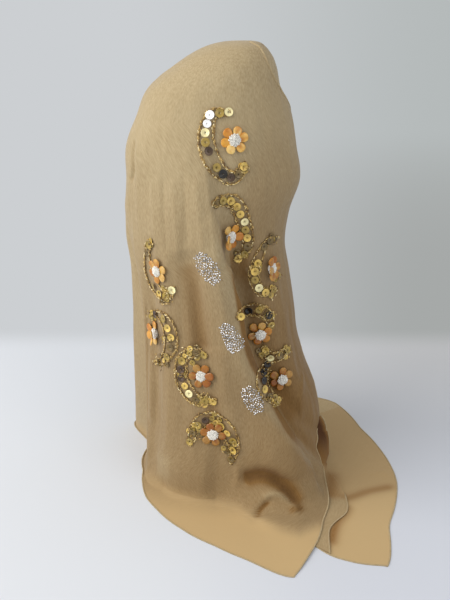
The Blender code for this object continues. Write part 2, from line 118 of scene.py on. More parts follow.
# Folds and creases: direction and height where each starts and ends, how its path bends, its
# rise in mm (a valley's is negative), its width towards the near hem and towards the far hem,
# and the length over which it fades in and out
foldColumns = (
    "name", "topTurn", "top", "endTurn", "end", "bend", "rise", "nearSide", "farSide", "fade",
)
folds = (
    ("mainRidge", -99, 430, -9, 0, 0.42, 13.0, 8, 34, 100),
    ("recess", -76, 380, 8, 30, 0.42, -8.0, 14, 12, 100),
    ("frontValley", -104, 330, -92, 120, 1.0, -4.0, 12, 10, 100),
    ("leftLight", -128, 400, -118, 0, 1.0, 3.5, 16, 20, 100),
    ("leftHollow", -145, 300, -136, 40, 1.0, -3.0, 10, 12, 100),
    ("leftFold", -161, 330, -146, 0, 1.0, 6.0, 12, 10, 100),
    ("groove", -181, 320, -181, 0, 1.0, -8.0, 12, 12, 100),
    ("backLeft", -206, 410, -211, 0, 1.0, 33.0, 20, 20, 100),
    ("backLeftHigh", -206, 400, -207, 270, 1.0, -4.5, 24, 24, 50),
    ("backLeftLow", -209, 240, -211, 0, 1.0, 4.0, 20, 20, 90),
    ("nape", -190, 420, -192, 340, 1.0, 4.0, 26, 26, 100),
    ("backValley", -228, 320, -226, 0, 1.0, -8.0, 12, 13, 100),
    ("backRidge", -246, 390, -242, 0, 1.0, 12.0, 11, 13, 100),
    ("backDip", -257, 300, -256, 0, 1.0, -7.0, 10, 11, 100),
    ("backFold", -272, 350, -270, 0, 1.0, 11.0, 10, 13, 100),
    ("sideDip", -287, 260, -286, 0, 1.0, -8.0, 11, 11, 100),
    ("sideFold", -303, 410, -301, 0, 1.0, 10.0, 12, 14, 100),
    ("sideSoft", -324, 300, -320, 0, 1.0, -5.0, 12, 14, 100),
    ("farFold", -341, 360, -338, 0, 1.0, 5.0, 12, 13, 100),
    ("skirt", -60, 130, -50, 0, 1.0, 20.0, 36, 40, 100),
    ("knee", -88, 110, -84, 0, 1.0, -6.0, 18, 16, 100),
)

# Where a fold's path sways aside: middle height, half height and degrees
sways = {"mainRidge": (235.0, 65.0, -4.6), "recess": (235.0, 65.0, -4.6)}

drapeShape = {
    "clothWall": 0.5, "layerGap": 0.5, "tuck": 5.0, "lowTuck": 2.5, "lowLevel": 11.0,
    "deepTuck": 11.0, "deepLevel": 8.0, "tuckTurn": -292.0, "tuckRun": 34.0,
    "crownLevel": 1.0, "crownRun": 1.2, "uprightRun": 4.0, "crownTuck": 0.4,
    "hiddenTurn": -374.0, "hiddenRun": 14.0, "overTailTurn": -70.0, "overTailRun": 8.0,
    "footShare": 0.4, "footBend": 0.45, "footSag": 0.12,
}


def columnsOf(rows, names):
    # A table's columns by name
    values = np.array(rows, dtype=float)
    return {name: values[:, i] for i, name in enumerate(names)}


def smoothStep(value):
    # 3t^2 - 2t^3 between 0 and 1
    value = np.clip(value, 0.0, 1.0)
    return value * value * (3.0 - 2.0 * value)


def easeUp(value, start, run):
    # From 0 at the start to 1 a run further on
    return smoothStep((value - start) / run)


def easeDown(value, start, run):
    # From 0 at the start to 1 a run before it
    return smoothStep((start - value) / run)


def ringAngles(count):
    return np.linspace(0.0, 2.0 * np.pi, count, endpoint=False)


def bell(value, width):
    # exp(-(value / width)^2)
    return np.exp(-((value / width) ** 2))


def unit(vectors):
    # Each vector divided by its length
    return vectors / np.maximum(np.linalg.norm(vectors, axis=-1, keepdims=True), 1e-12)


def walkedAlong(path):
    # The length walked from a path's first point to each of its points
    steps = np.linalg.norm(np.diff(path, axis=0), axis=-1)
    return np.concatenate([np.zeros_like(steps[:1]), np.cumsum(steps, axis=0)])


def withEnds(rows):
    # One more row past each end, in line with the two nearest
    return np.concatenate([[2.0 * rows[0] - rows[1]], rows, [2.0 * rows[-1] - rows[-2]]])


def spline(rows, at):
    # Catmull-Rom through equally spaced rows with a ghost row at each end
    base = np.clip(np.floor(at).astype(int), 0, len(rows) - 4)
    t = np.asarray(at - base)
    t = t.reshape(t.shape + (1,) * (rows.ndim - 1))
    p0, p1, p2, p3 = (rows[base + k] for k in range(4))
    return 0.5 * (
        2.0 * p1 + (p2 - p0) * t + (2.0 * p0 - 5.0 * p1 + 4.0 * p2 - p3) * t ** 2
        + (3.0 * p1 - p0 - 3.0 * p2 + p3) * t ** 3
    )


def softened(values, reach, width, **edges):
    # Each row averaged with its neighbours, weighted by exp(-(steps away / width)^2)
    weights = bell(np.arange(-reach, reach + 1), width)
    wide = np.pad(values, [(reach, reach)] + [(0, 0)] * (values.ndim - 1), **edges)
    return sum(w * wide[i:i + len(values)] for i, w in enumerate(weights / weights.sum()))


sectionTable = columnsOf(sections, sectionColumns)
floorTable = columnsOf(floorRows, floorColumns)
runTable = columnsOf(runRows, runColumns)
wallEnd = len(sections) - 1

# The floor table's lines by direction, rounded over about three degrees
awayTurns = np.arange(-45.0, 445.0, 0.5)
smoothFloor = {
    name: softened(
        np.interp(awayTurns, -floorTable["direction"], floorTable[name]), 12, 5.0, mode="edge"
    )
    for name in ("contact", "hem")
}


def ghosted(name):
    # Half sizes mirror through the crown point, so the dome is smooth there
    column = sectionTable[name]
    grown = withEnds(column)
    grown[0] = -column[1] if name in ("right", "left", "front", "back") else column[1]
    return grown


sectionSplines = {name: ghosted(name) for name in sectionColumns}


def section(name, level):
    # A column of the sections at any level between them
    return spline(sectionSplines[name], np.clip(level, 0.0, wallEnd))


def levelAt(height):
    # The level whose section lies at this height
    levels = np.linspace(0.0, wallEnd, 1601)
    return np.interp(-height, -section("height", levels), levels)


def foldRise(rows, turn, height, radius):
    # Sum over the rows of rise * fade * exp(-(distance across the fold's path / width)^2)
    total = np.zeros_like(turn)
    for row in rows:
        fold = dict(zip(foldColumns, row))
        span = fold["top"] - fold["end"]
        up = np.clip((height - fold["end"]) / span, 0.0, 1.0)
        path = fold["endTurn"] + (fold["topTurn"] - fold["endTurn"]) * up ** fold["bend"]
        middle, spread, aside = sways.get(fold["name"], (0.0, 1.0, 0.0))
        path = path + aside * bell(height - middle, spread)
        off = np.radians((turn - path + 180.0) % 360.0 - 180.0) * radius
        length = min(fold["fade"], span)
        fade = smoothStep((fold["top"] - height) / length)
        if fold["end"] > 0.0:
            fade = fade * smoothStep((height - fold["end"]) / length + 0.2)
        width = np.where(off > 0.0, fold["nearSide"], fold["farSide"])
        total = total + fold["rise"] * fade * bell(off, width)
    return total


def wallPoint(turn, level):
    # The hanging cloth: radius = four-part ellipse + folds - tuck, at the section's height
    shape = drapeShape
    angle = np.radians(turn)
    c, s = np.cos(angle), np.sin(angle)
    halfX = np.where(c > 0.0, section("right", level), section("left", level))
    halfY = np.where(s > 0.0, section("back", level), section("front", level))
    radius = 1.0 / np.hypot(c / np.maximum(halfX, 1e-4), s / np.maximum(halfY, 1e-4))
    height = section("height", level)
    hidden = easeDown(turn, shape["hiddenTurn"], shape["hiddenRun"])
    rise = foldRise(folds, turn, height, np.maximum(radius, 20.0))
    radius = radius + rise * (1.0 - hidden)
    tuck = shape["tuck"] + shape["lowTuck"] * easeUp(level, shape["lowLevel"], 3.0)
    tuck = tuck + shape["deepTuck"] * hidden * easeUp(level, shape["deepLevel"], 4.0)
    tuck = tuck * easeDown(turn, shape["tuckTurn"], shape["tuckRun"])
    below = level - shape["crownLevel"]
    tuck = tuck * smoothStep(below / shape["crownRun"])
    upright = smoothStep(below / shape["uprightRun"])
    radius = radius - tuck * (shape["crownTuck"] + (1.0 - shape["crownTuck"]) * upright)
    height = height - tuck * (1.0 - upright)
    return section("centre", level) + radius * c, radius * s, height


def floorPoint(turn, run):
    # A quadratic curve from the wall's end to the contact, then straight out to the hem
    shape = drapeShape
    x0, y0, z0 = wallPoint(turn, np.full_like(turn, float(wallEnd)))
    start = np.hypot(x0, y0)
    contact = np.interp(-turn, awayTurns, smoothFloor["contact"])
    hem = np.interp(-turn, awayTurns, smoothFloor["hem"])
    contact = np.maximum(contact, start + 1.0)
    hem = np.maximum(hem, contact + 3.0)
    overTail = easeUp(turn, shape["overTailTurn"], shape["overTailRun"])
    rest = shape["clothWall"] + overTail * 2.0 * (shape["clothWall"] + shape["layerGap"])
    foot = np.clip(run / shape["footShare"], 0.0, 1.0)
    out = np.clip((run - shape["footShare"]) / (1.0 - shape["footShare"]), 0.0, 1.0)
    bend = start + shape["footBend"] * (contact - start)
    low = rest + shape["footSag"] * (z0 - rest)
    weights = ((1.0 - foot) ** 2, 2.0 * foot * (1.0 - foot), foot ** 2)
    radius = weights[0] * start + weights[1] * bend + weights[2] * contact
    radius = radius + out * (hem - contact)
    height = weights[0] * z0 + weights[1] * low + weights[2] * rest
    angle = np.radians(turn)
    return radius * np.cos(angle), radius * np.sin(angle), height


def drapePoint(turn, level):
    # The level counts sections down the wall and then runs one more unit along the table
    turn, level = np.broadcast_arrays(np.asarray(turn, float), np.asarray(level, float))
    wall = np.stack(wallPoint(turn, level), axis=-1)
    floor = np.stack(floorPoint(turn, np.clip(level - wallEnd, 0.0, 1.0)), axis=-1)
    return np.where((level > wallEnd)[..., None], floor, wall)


def followedLine(name, level):
    # Direction of a followed line: the section's on the wall, the run table's below it
    run = np.clip(level - wallEnd, 0.0, 1.0)
    shifts = (-0.03, -0.015, 0.0, 0.015, 0.03)
    below = sum(np.interp(run + shift, runTable["run"], runTable[name]) for shift in shifts) / 5.0
    if name == "farHem":
        lap = section("lap", level) * easeUp(level, 1.4, 0.8)
        wall = section("nearHem", level) - 360.0 - lap
    else:
        wall = section(name, level)
    return np.where(level > wallEnd, below, wall)


# Fine creases on the hanging cloth, in the folds' columns, moved along the cloth's normal
creases = (
    ("edgeBulge", -160, 395, -168, 300, 1.0, 2.5, 7, 9, 40),
    ("softA", -150, 420, -150, 150, 1.0, 0.7, 5, 6, 60),
    ("softB", -137, 400, -131, 60, 1.0, -0.8, 5, 5, 60),
    ("softC", -124, 360, -121, 40, 1.0, 0.8, 5, 6, 60),
    ("softD", -113, 330, -111, 90, 1.0, -0.9, 6, 5, 60),
    ("softE", -105, 250, -101, 30, 1.0, 0.7, 4, 5, 50),
    ("valleyLight", -97, 300, -84, 110, 0.8, 1.2, 6, 7, 60),
    ("sideA", -58, 330, -40, 120, 1.0, -1.2, 7, 7, 60),
    ("sideB", -38, 300, -22, 90, 1.0, 1.0, 5, 6, 60),
    ("sideC", -24, 240, -14, 60, 1.0, -0.9, 5, 5, 60),
    ("browA", -40, 440, -28, 330, 1.0, -1.0, 9, 9, 60),
    ("backA", -218, 380, -219, 60, 1.0, 2.6, 6, 7, 60),
    ("backB", -235, 300, -234, 40, 1.0, -2.4, 6, 6, 60),
    ("backC", -262, 330, -264, 50, 1.0, 2.2, 5, 6, 60),
    ("backD", -279, 290, -278, 40, 1.0, 2.0, 5, 5, 60),
    ("backE", -294, 300, -293, 40, 1.0, -2.2, 6, 5, 60),
    ("backF", -312, 340, -310, 40, 1.0, -2.6, 6, 7, 60),
    ("backG", -331, 300, -329, 40, 1.0, 2.2, 6, 6, 60),
    ("backI", -205, 420, -224, 250, 1.0, 2.4, 7, 8, 60),
    ("backJ", -252, 430, -240, 230, 1.0, -2.2, 8, 8, 70),
    ("backK", -268, 420, -276, 250, 1.0, 2.2, 7, 7, 60),
    ("backL", -300, 420, -316, 210, 1.0, 2.4, 7, 8, 60),
    ("leftA", -172, 400, -170, 120, 1.0, 2.0, 6, 7, 70),
    ("leftB", -188, 330, -186, 40, 1.0, 1.8, 5, 6, 60),
    ("leftC", -198, 400, -194, 200, 1.0, -2.0, 7, 7, 60),
    ("backH", -349, 300, -348, 60, 1.0, -2.0, 5, 6, 60),
)

# Creases placed in the 450 x 600 picture: where they are, rise in mm, width in mm to the
# left and to the right of the line as it is walked from its first point, then its points
pictureColumns = ("name", "where", "rise", "left", "right", "points")
pictureCreases = (
    ("ridgeEdge", "front", 3.5, 16, 4, (
        (208, 214), (215.5, 225), (221, 256), (225.5, 269), (228.5, 276), (235, 300), (239, 324),
        (243, 348), (251, 369), (266.5, 391), (272, 408), (285.5, 434), (305, 453.6), (321, 466))),
    ("ridgeLow", "front", 6.0, 20, 2.2, (
        (224, 262), (229, 276), (235, 300), (239, 324), (243, 348), (251, 369), (266.5, 391),
        (272, 408), (284, 432), (300, 448))),
    ("recessLow", "front", -8.5, 3.5, 17, (
        (229, 268), (233.5, 284), (242, 310), (246, 336), (255, 362), (271.5, 389), (279, 408),
        (292, 432))),
    ("ridgeFoot", "front", -4.0, 5, 13, (
        (223, 222), (229, 256), (233, 280), (243, 310), (246.5, 335), (255, 362), (271.5, 388),
        (281, 410), (296, 432), (312, 450))),
    ("leftValley", "front", -4.5, 11, 13, (
        (184, 250), (190, 280), (195, 305), (199, 335), (201, 352))),
    ("streakA", "front", 1.6, 4, 5, ((152, 178), (153, 220), (156, 262))),
    ("streakB", "front", -1.7, 4, 4, ((162, 176), (164, 215), (167, 255))),
    ("streakC", "front", 1.6, 4, 5, ((173, 178), (175, 215), (178, 258))),
    ("streakD", "front", -1.4, 4, 4, ((183, 168), (185, 210), (188, 246))),
    ("streakE", "front", 1.5, 5, 6, ((196, 180), (199, 220), (204, 250))),
    ("stripEdge", "front", -2.2, 3, 4, ((147, 300), (147, 345), (146.5, 385), (147, 416))),
    ("stripLight", "front", 2.8, 5, 7, ((153, 352), (152, 385), (153, 425))),
    ("sideBulge", "front", -2.6, 3, 3, ((134, 138), (132.5, 155), (133.5, 170), (132, 182))),
    ("bandLight", "front", 2.6, 8, 10, ((220, 345), (224, 380), (229, 410), (235, 440))),
    ("bandDark", "front", -2.2, 7, 7, ((211, 395), (216, 420), (222, 445))),
    ("hemSoft", "front", 1.8, 3, 5, ((303, 371), (301, 387), (300, 404), (301, 421))),
    ("pleatLow", "front", 1.8, 4, 7, ((236, 440), (238, 465), (237, 488))),
    ("breakTrough", "front", -6.0, 6, 9, (
        (240, 481), (255, 476), (270, 477), (285, 488), (297, 503))),
    ("breakRim", "front", 4.0, 5, 5, ((262, 497), (274, 493), (287, 499), (299, 514))),
    ("creaseV", "front", -3.4, 3, 3.5, ((269, 501), (261, 509), (257, 518))),
    ("doubleEdge", "front", 1.2, 9, 2.5, (
        (312, 523), (282, 525), (257, 518), (239, 507), (200, 500))),
    ("underEdge", "front", 0.8, 2, 5, ((168, 440), (161, 452), (148, 466), (144, 484))),
    ("tailHump", "back", 5.5, 9, 8, ((346, 485), (368, 479), (390, 474))),
    ("tailValley", "back", -4.5, 4, 5, ((347, 497), (357, 495), (370, 490), (393, 486))),
    ("tailRoll", "back", 2.2, 6, 6, ((356, 506), (372, 501), (392, 498))),
    ("hemShade", "back", -2.6, 4, 6, ((354, 505), (349, 517), (341, 528), (337, 545))),
)

scarfCloth = {
    "rows": 300, "frontColumns": (150, 120, 42), "backColumns": 262, "firstLevel": 0.06,
    "ripple": 0.35, "rippleSize": 16.0, "lowest": 0.35, "footReach": 14, "footWidth": 6.0,
}


def evenLevels(count, first):
    # Levels at equal steps of path length down the middle of the panel
    levels = np.linspace(first, wallEnd + 1.0, 3001)
    walked = walkedAlong(drapePoint(np.full_like(levels, -95.0), levels))
    return np.interp(np.linspace(0.0, walked[-1], count), walked, levels)


def spreadColumns(lines, counts):
    # Directions spread evenly between each pair of followed lines
    parts = [
        start[:, None] + (end - start)[:, None] * np.arange(count) / count
        for start, end, count in zip(lines, lines[1:], counts)
    ]
    return np.concatenate(parts + [lines[-1][:, None]], axis=1)


def gridNormals(grid, outward):
    # Unit cross product of the steps across and down, on the side of the outward direction
    normals = unit(np.cross(np.gradient(grid, axis=1), np.gradient(grid, axis=0)))
    return -normals if (normals * outward).sum() < 0.0 else normals


def softNoise(points, size, seed):
    # Sum of six sines in seeded directions, about -1 to 1, with the given wave size in mm
    local = np.random.default_rng(seed)
    ways = unit(local.normal(size=(6, 3))) * 2.0 * np.pi / size
    ways = ways * local.uniform(0.7, 1.5, (6, 1))
    phases = local.uniform(0.0, 2.0 * np.pi, 6)
    return np.sin(points @ ways.T + phases).sum(axis=-1) / 3.2


def pictureRise(spots, normals, rows):
    # Sum of rise * exp(-(distance to the crease's line / width)^2), the width by its side
    total = np.zeros(spots.shape[:-1])
    for row in rows:
        crease = dict(zip(pictureColumns, row))
        found = [pixelHit(px, py) for px, py in finer(crease["points"])]
        line = np.array([hit[0] for hit in found if hit is not None])
        reach = 2.6 * max(crease["left"], crease["right"])
        low, high = line.min(axis=0) - reach, line.max(axis=0) + reach
        near = ((spots > low) & (spots < high)).all(axis=-1)
        here, normal = spots[near], normals[near]
        best = np.full(len(here), 1e9)
        off = np.zeros_like(here)
        heading = np.zeros_like(here)
        share = np.zeros(len(here))
        for order, (start, end) in enumerate(zip(line, line[1:])):
            way = end - start
            length = max(float(way @ way), 1e-6)
            t = np.clip((here - start) @ way / length, 0.0, 1.0)
            gap = here - start - t[:, None] * way
            distance = (gap ** 2).sum(axis=1)
            closer = distance < best
            best = np.where(closer, distance, best)
            off[closer] = gap[closer]
            heading[closer] = way
            share = np.where(closer, (order + t) / (len(line) - 1), share)
        side = (np.cross(heading, normal) * off).sum(axis=1)
        width = np.where(side > 0.0, crease["left"], crease["right"])
        ends = smoothStep(share / 0.15 + 0.25) * smoothStep((1.0 - share) / 0.15 + 0.25)
        total[near] += crease["rise"] * ends * np.exp(-best / width ** 2)
    return total


def finer(places, steps=4):
    # A Catmull-Rom line through the places
    line = np.array(places, float)
    return spline(withEnds(line), np.linspace(0.0, len(line) - 1.0, steps * (len(line) - 1) + 1))


def makeMesh(name, points, faces, material, uv=None, normals=None, values=None, smooth=True):
    # A mesh from points in mm; faces is a list of corner lists or a list of such arrays
    mesh = bpy.data.meshes.new(name)
    corners = [face for part in faces for face in np.asarray(part).tolist()]
    points = np.asarray(points, dtype=float).reshape(-1, 3) * mm
    mesh.from_pydata(points.tolist(), [], corners)
    mesh.materials.append(material)
    if smooth:
        mesh.shade_smooth()
    loops = np.zeros(len(mesh.loops), dtype=np.int32)
    mesh.loops.foreach_get("vertex_index", loops)
    if uv is not None:
        layer = mesh.uv_layers.new(name="clothMap")
        layer.data.foreach_set("uv", np.asarray(uv, dtype=np.float32).reshape(-1, 2)[loops].ravel())
    for key, value in (values or {}).items():
        value = np.asarray(value, dtype=np.float32)
        kind = "FLOAT" if value.ndim == 1 else "FLOAT_COLOR"
        field = "value" if value.ndim == 1 else "color"
        mesh.attributes.new(key, kind, "POINT").data.foreach_set(field, value.ravel())
    if normals is not None:
        mesh.normals_split_custom_set_from_vertices(np.asarray(normals).reshape(-1, 3).tolist())
    item = bpy.data.objects.new(name, mesh)
    bpy.context.scene.collection.objects.link(item)
    return item


def gridFaces(rows, columns, closed=False, ring=False):
    # Quads over a grid of vertices numbered row by row; closed joins the last column to the
    # first, ring the last row to the first
    index = np.arange(rows * columns).reshape(rows, columns)
    index = np.pad(index, ((0, int(ring)), (0, int(closed))), mode="wrap")
    corners = (index[:-1, :-1], index[:-1, 1:], index[1:, 1:], index[1:, :-1])
    return np.stack(corners, axis=-1).reshape(-1, 4)


def tubeFaces(rings, around):
    # Quads round a tube of rings, then a cap on each end
    cap = np.arange(around)[None]
    return [gridFaces(rings, around, closed=True), cap[:, ::-1], cap + around * (rings - 1)]


def colourOf(r, g, b):
    # sRGB 0-255 to linear
    values = np.array([r, g, b]) / 255.0
    linear = np.where(values <= 0.04045, values / 12.92, ((values + 0.055) / 1.055) ** 2.4)
    return (*linear.tolist(), 1.0)


# Materials are put together from nodes, whose inputs are plain values or other nodes' outputs
def feed(tree, item, inputs):
    for name, value in dict(inputs).items():
        if isinstance(value, bpy.types.NodeSocket):
            tree.links.new(value, item.inputs[name])
        else:
            item.inputs[name].default_value = value


def node(tree, kind, inputs=(), **settings):
    item = tree.nodes.new("ShaderNode" + kind)
    for name, value in settings.items():
        setattr(item, name, value)
    feed(tree, item, inputs)
    return item


def newMaterial(name):
    material = bpy.data.materials.new(name)
    material.use_nodes = True
    tree = material.node_tree
    return material, tree, tree.nodes["Principled BSDF"]


def coordsOf(tree):
    return node(tree, "TexCoord").outputs


def mixColour(tree, factor, first, second, kind="MIX"):
    mix = node(tree, "Mix", {}, data_type="RGBA", blend_type=kind)
    feed(tree, mix, {0: factor, 6: first, 7: second})
    return mix.outputs[2]


def mixValue(tree, factor, first, second):
    return node(tree, "Mix", {0: factor, 2: first, 3: second}).outputs[0]


def noiseValue(tree, vector, scale, detail=2.0):
    inputs = {"Vector": vector, "Scale": scale, "Detail": detail}
    return node(tree, "TexNoise", inputs).outputs["Fac"]


def rangeValue(tree, value, low, high, top=1.0, **settings):
    inputs = {"Value": value, "From Min": low, "From Max": high, "To Max": top}
    return node(tree, "MapRange", inputs, **settings).outputs["Result"]


def scaledVector(tree, vector, scale):
    return node(tree, "Mapping", {"Vector": vector, "Scale": scale}).outputs["Vector"]


def attributeValue(tree, name, output="Fac"):
    return node(tree, "Attribute", attribute_name=name).outputs[output]


def letThrough(tree, shader, share, inputs):
    # Some light comes through: the surface mixed with a translucent one
    inner = node(tree, "BsdfTranslucent", inputs)
    mix = node(tree, "MixShader", {0: share, 1: shader.outputs[0], 2: inner.outputs[0]})
    feed(tree, tree.nodes["Material Output"], {"Surface": mix.outputs[0]})


# Crepe colours: a lit and a streak tone, a lighter tone of painted single-layer light, and two
# darker tones of painted shade
chiffonLook = {
    "lit": (210, 194, 157), "streak": (156, 133, 94), "singleLayerLight": (208, 179, 130),
    "shadeTone": (0.5, 0.34, 0.17, 1.0), "deepShadeTone": (0.3, 0.2, 0.12, 1.0),
    "roughness": 0.75, "specular": 0.25, "sheen": 0.2, "sheenRoughness": 0.45,
    "through": 0.22, "bump": 0.0003, "bumpStrength": 0.6, "grainFrom": 0.34, "grainTo": 0.68,
    "grainScale": (1100.0, 190.0, 1.0), "crownScale": (700.0, 700.0, 190.0),
    "streakScale": (420.0, 22.0, 1.0), "patchScale": 14.0, "patches": 0.25,
}


def chiffon():
    # Crepe grain: streaks stretched down the cloth, blended with object noise on the crown
    look = chiffonLook
    material, tree, shader = newMaterial("chiffon_crepe")
    spot = coordsOf(tree)
    crown, singleLayerLight, shade = (attributeValue(tree, key) for key in ("crownBlend", "singleLayerLight", "shade"))
    onCloth = scaledVector(tree, spot["UV"], look["grainScale"])
    onCrown = scaledVector(tree, spot["Object"], look["crownScale"])
    grain = mixValue(
        tree, crown, noiseValue(tree, onCloth, 1.0, 3.0), noiseValue(tree, onCrown, 1.0, 3.0)
    )
    long = noiseValue(tree, scaledVector(tree, spot["UV"], look["streakScale"]), 1.0)
    streaks = mixValue(
        tree, 0.5, rangeValue(tree, grain, look["grainFrom"], look["grainTo"]),
        mixValue(tree, crown, long, 0.5),
    )
    streak, lit = colourOf(*look["streak"]), colourOf(*look["lit"])
    broad = mixColour(tree, noiseValue(tree, spot["Object"], look["patchScale"]), streak, lit)
    tone = mixColour(tree, look["patches"], mixColour(tree, streaks, streak, lit), broad)
    # Painted light: a lighter single-layer tone where one layer lies over the pale table. Painted
    # shade: the shade attribute darkens the tone in two stages
    tone = mixColour(tree, singleLayerLight, tone, colourOf(*look["singleLayerLight"]))
    for start, shadeTone in ((0.0, look["shadeTone"]), (1.0, look["deepShadeTone"])):
        depth = rangeValue(tree, shade, start, start + 1.0, clamp=start > 0.0)
        tone = mixColour(tree, depth, tone, mixColour(tree, 1.0, tone, shadeTone, "MULTIPLY"))
    bump = node(
        tree, "Bump", {"Strength": look["bumpStrength"], "Distance": look["bump"], "Height": grain}
    ).outputs["Normal"]
    feed(tree, shader, {
        "Base Color": tone, "Roughness": look["roughness"], "Normal": bump,
        "Specular IOR Level": look["specular"], "Sheen Weight": look["sheen"],
        "Sheen Roughness": look["sheenRoughness"],
    })
    letThrough(tree, shader, look["through"], {"Color": tone, "Normal": bump})
    return material


mottleLook = {"scale": 260.0, "from": 0.42, "to": 0.66, "tone": (0.7, 0.54, 0.36, 1.0)}


def tintedMaterial(name, roughness, coat, metallic=0.0, through=0.0, mottle=0.0):
    # The colour comes from the tint kept at each vertex, darkened in patches by object noise
    material, tree, shader = newMaterial(name)
    tint = attributeValue(tree, "tint", "Color")
    if mottle > 0.0:
        look = mottleLook
        patches = noiseValue(tree, coordsOf(tree)["Object"], look["scale"], 3.0)
        patches = rangeValue(tree, patches, look["from"], look["to"], mottle)
        darker = mixColour(tree, 1.0, tint, look["tone"], "MULTIPLY")
        tint = mixColour(tree, patches, tint, darker)
    feed(tree, shader, {
        "Base Color": tint, "Roughness": roughness, "Metallic": metallic,
        "Coat Weight": coat, "Coat Roughness": 0.08,
    })
    if through > 0.0:
        letThrough(tree, shader, through, {"Color": tint})
    return material


clothMaterial = chiffon()
print("cloth material made")


# What is found by looking from the photograph's place onto the cloth
viewPoint = {
    "place": (0.014, -0.75, 0.5), "pitch": 21.2, "lens": 40.0, "sensor": 36.0,
    "width": 450, "height": 600,
}
focal = viewPoint["lens"] / viewPoint["sensor"] * viewPoint["height"]
eye = np.array(viewPoint["place"]) / mm
dipCos, dipSin = (turn(math.radians(viewPoint["pitch"])) for turn in (math.cos, math.sin))
forwardWay, upWay = np.array([0.0, dipCos, -dipSin]), np.array([0.0, dipSin, dipCos])
trees = []


def treeOf(places):
    # A grid of points made ready for rays
    faces = gridFaces(*places.shape[:2])
    return BVHTree.FromPolygons(places.reshape(-1, 3).tolist(), faces.tolist())


def pixelHit(px, py):
    # Where the ray through a place of the picture first meets the cloth, and the normal there
    way = forwardWay * focal + upWay * (viewPoint["height"] / 2.0 - py)
    way = unit(way + np.array([1.0, 0.0, 0.0]) * (px - viewPoint["width"] / 2.0))
    hits = [tree.ray_cast(eye.tolist(), way.tolist()) for tree in trees]
    hits = [hit for hit in hits if hit[0] is not None]
    if not hits:
        return None
    best = min(hits, key=lambda hit: hit[3])
    normal = np.array(best[1])
    return np.array(best[0]), -normal if normal @ way > 0.0 else normal


def pictureOf(spots):
    # Where points in mm fall in the 450 x 600 picture
    off = spots - eye
    ahead = off @ forwardWay
    return (
        viewPoint["width"] / 2.0 + focal * off[..., 0] / ahead,
        viewPoint["height"] / 2.0 - focal * (off @ upWay) / ahead,
    )


# The scarf: one grid from the near hem round to the far hem, cut at the groove
levels = evenLevels(scarfCloth["rows"], scarfCloth["firstLevel"])
turns = spreadColumns(
    [followedLine(name, levels) for name in ("nearHem", "ridge", "fold", "groove", "farHem")],
    (*scarfCloth["frontColumns"], scarfCloth["backColumns"]),
)
rows, columns = turns.shape
levelGrid = np.repeat(levels[:, None], columns, axis=1)
base = drapePoint(turns, levelGrid)
softer = softened(base[..., 2], scarfCloth["footReach"], scarfCloth["footWidth"], mode="edge")
footShare = easeUp(levelGrid, 15.4, 0.5) * easeDown(levelGrid, 16.97, 0.12)
base[..., 2] += (softer - base[..., 2]) * footShare * (turns > -330.0)
baseNormals = gridNormals(base, base * (1.0, 0.0, 0.0))
height = base[..., 2]
shown = 1.0 - easeDown(turns, -368.0, 10.0)
radius = np.maximum(np.hypot(base[..., 0], base[..., 1]), 20.0)
relief = foldRise(creases, turns, height, radius) * easeUp(height, 2.0, 10.0)
ripple = softNoise(base * (1.0, 1.0, 0.3), scarfCloth["rippleSize"], 5) * scarfCloth["ripple"]
relief += ripple * easeUp(levelGrid, 1.5, 2.0) * easeUp(height, 4.0, 10.0)
grooveColumn = sum(scarfCloth["frontColumns"])
ownColumns = {"front": slice(0, grooveColumn + 1), "back": slice(grooveColumn + 1, columns)}
for where, own in ownColumns.items():
    trees.append(treeOf(base[::2, own][:, ::2]))
    chosen = [row for row in pictureCreases if row[1] == where]
    placed = pictureRise(base[:, own], baseNormals[:, own], chosen)
    relief[:, own] += placed * easeUp(levelGrid[:, own], 1.0, 2.0)
trees.clear()
points = base + baseNormals * (relief * shown)[..., None]
points[..., 2] = np.maximum(points[..., 2], scarfCloth["lowest"])
pointNormals = gridNormals(points, points * (1.0, 0.0, 0.0))

arc = walkedAlong(points.swapaxes(0, 1)).T
steady = int(np.searchsorted(levels, 5.0))
arc[:steady] = arc[steady]
clothMap = np.stack([arc, -walkedAlong(points)], axis=-1) * mm
crownBlend = easeDown(levelGrid, 6.0, 3.0)

# Painted light and shade: one layer over the pale table gets a lighter tone, for the table seen and
# shining through the cloth, and layers over one another a darker painted shade.
# Both are told in the picture's places: the front panel's layer ends along a line, the tail's at
# its hem
singleEdge = (
    (143, 478), (166, 487), (200, 496), (222, 501), (239, 506), (250, 514), (262, 517),
    (282, 527), (300, 531), (316, 524),
)
tailEdge = ((345, 500), (346, 508), (341, 518), (332, 526), (329, 536), (331, 548))
tailLow = ((330, 505), (346, 500), (357, 496), (370, 491), (396, 487))
ridgeLine = (
    (230, 140), (224, 215), (229, 248), (232, 267), (237, 308), (244, 340), (252, 369),
    (266, 391), (271, 408), (285, 434), (304, 453), (320, 466), (340, 480),
)
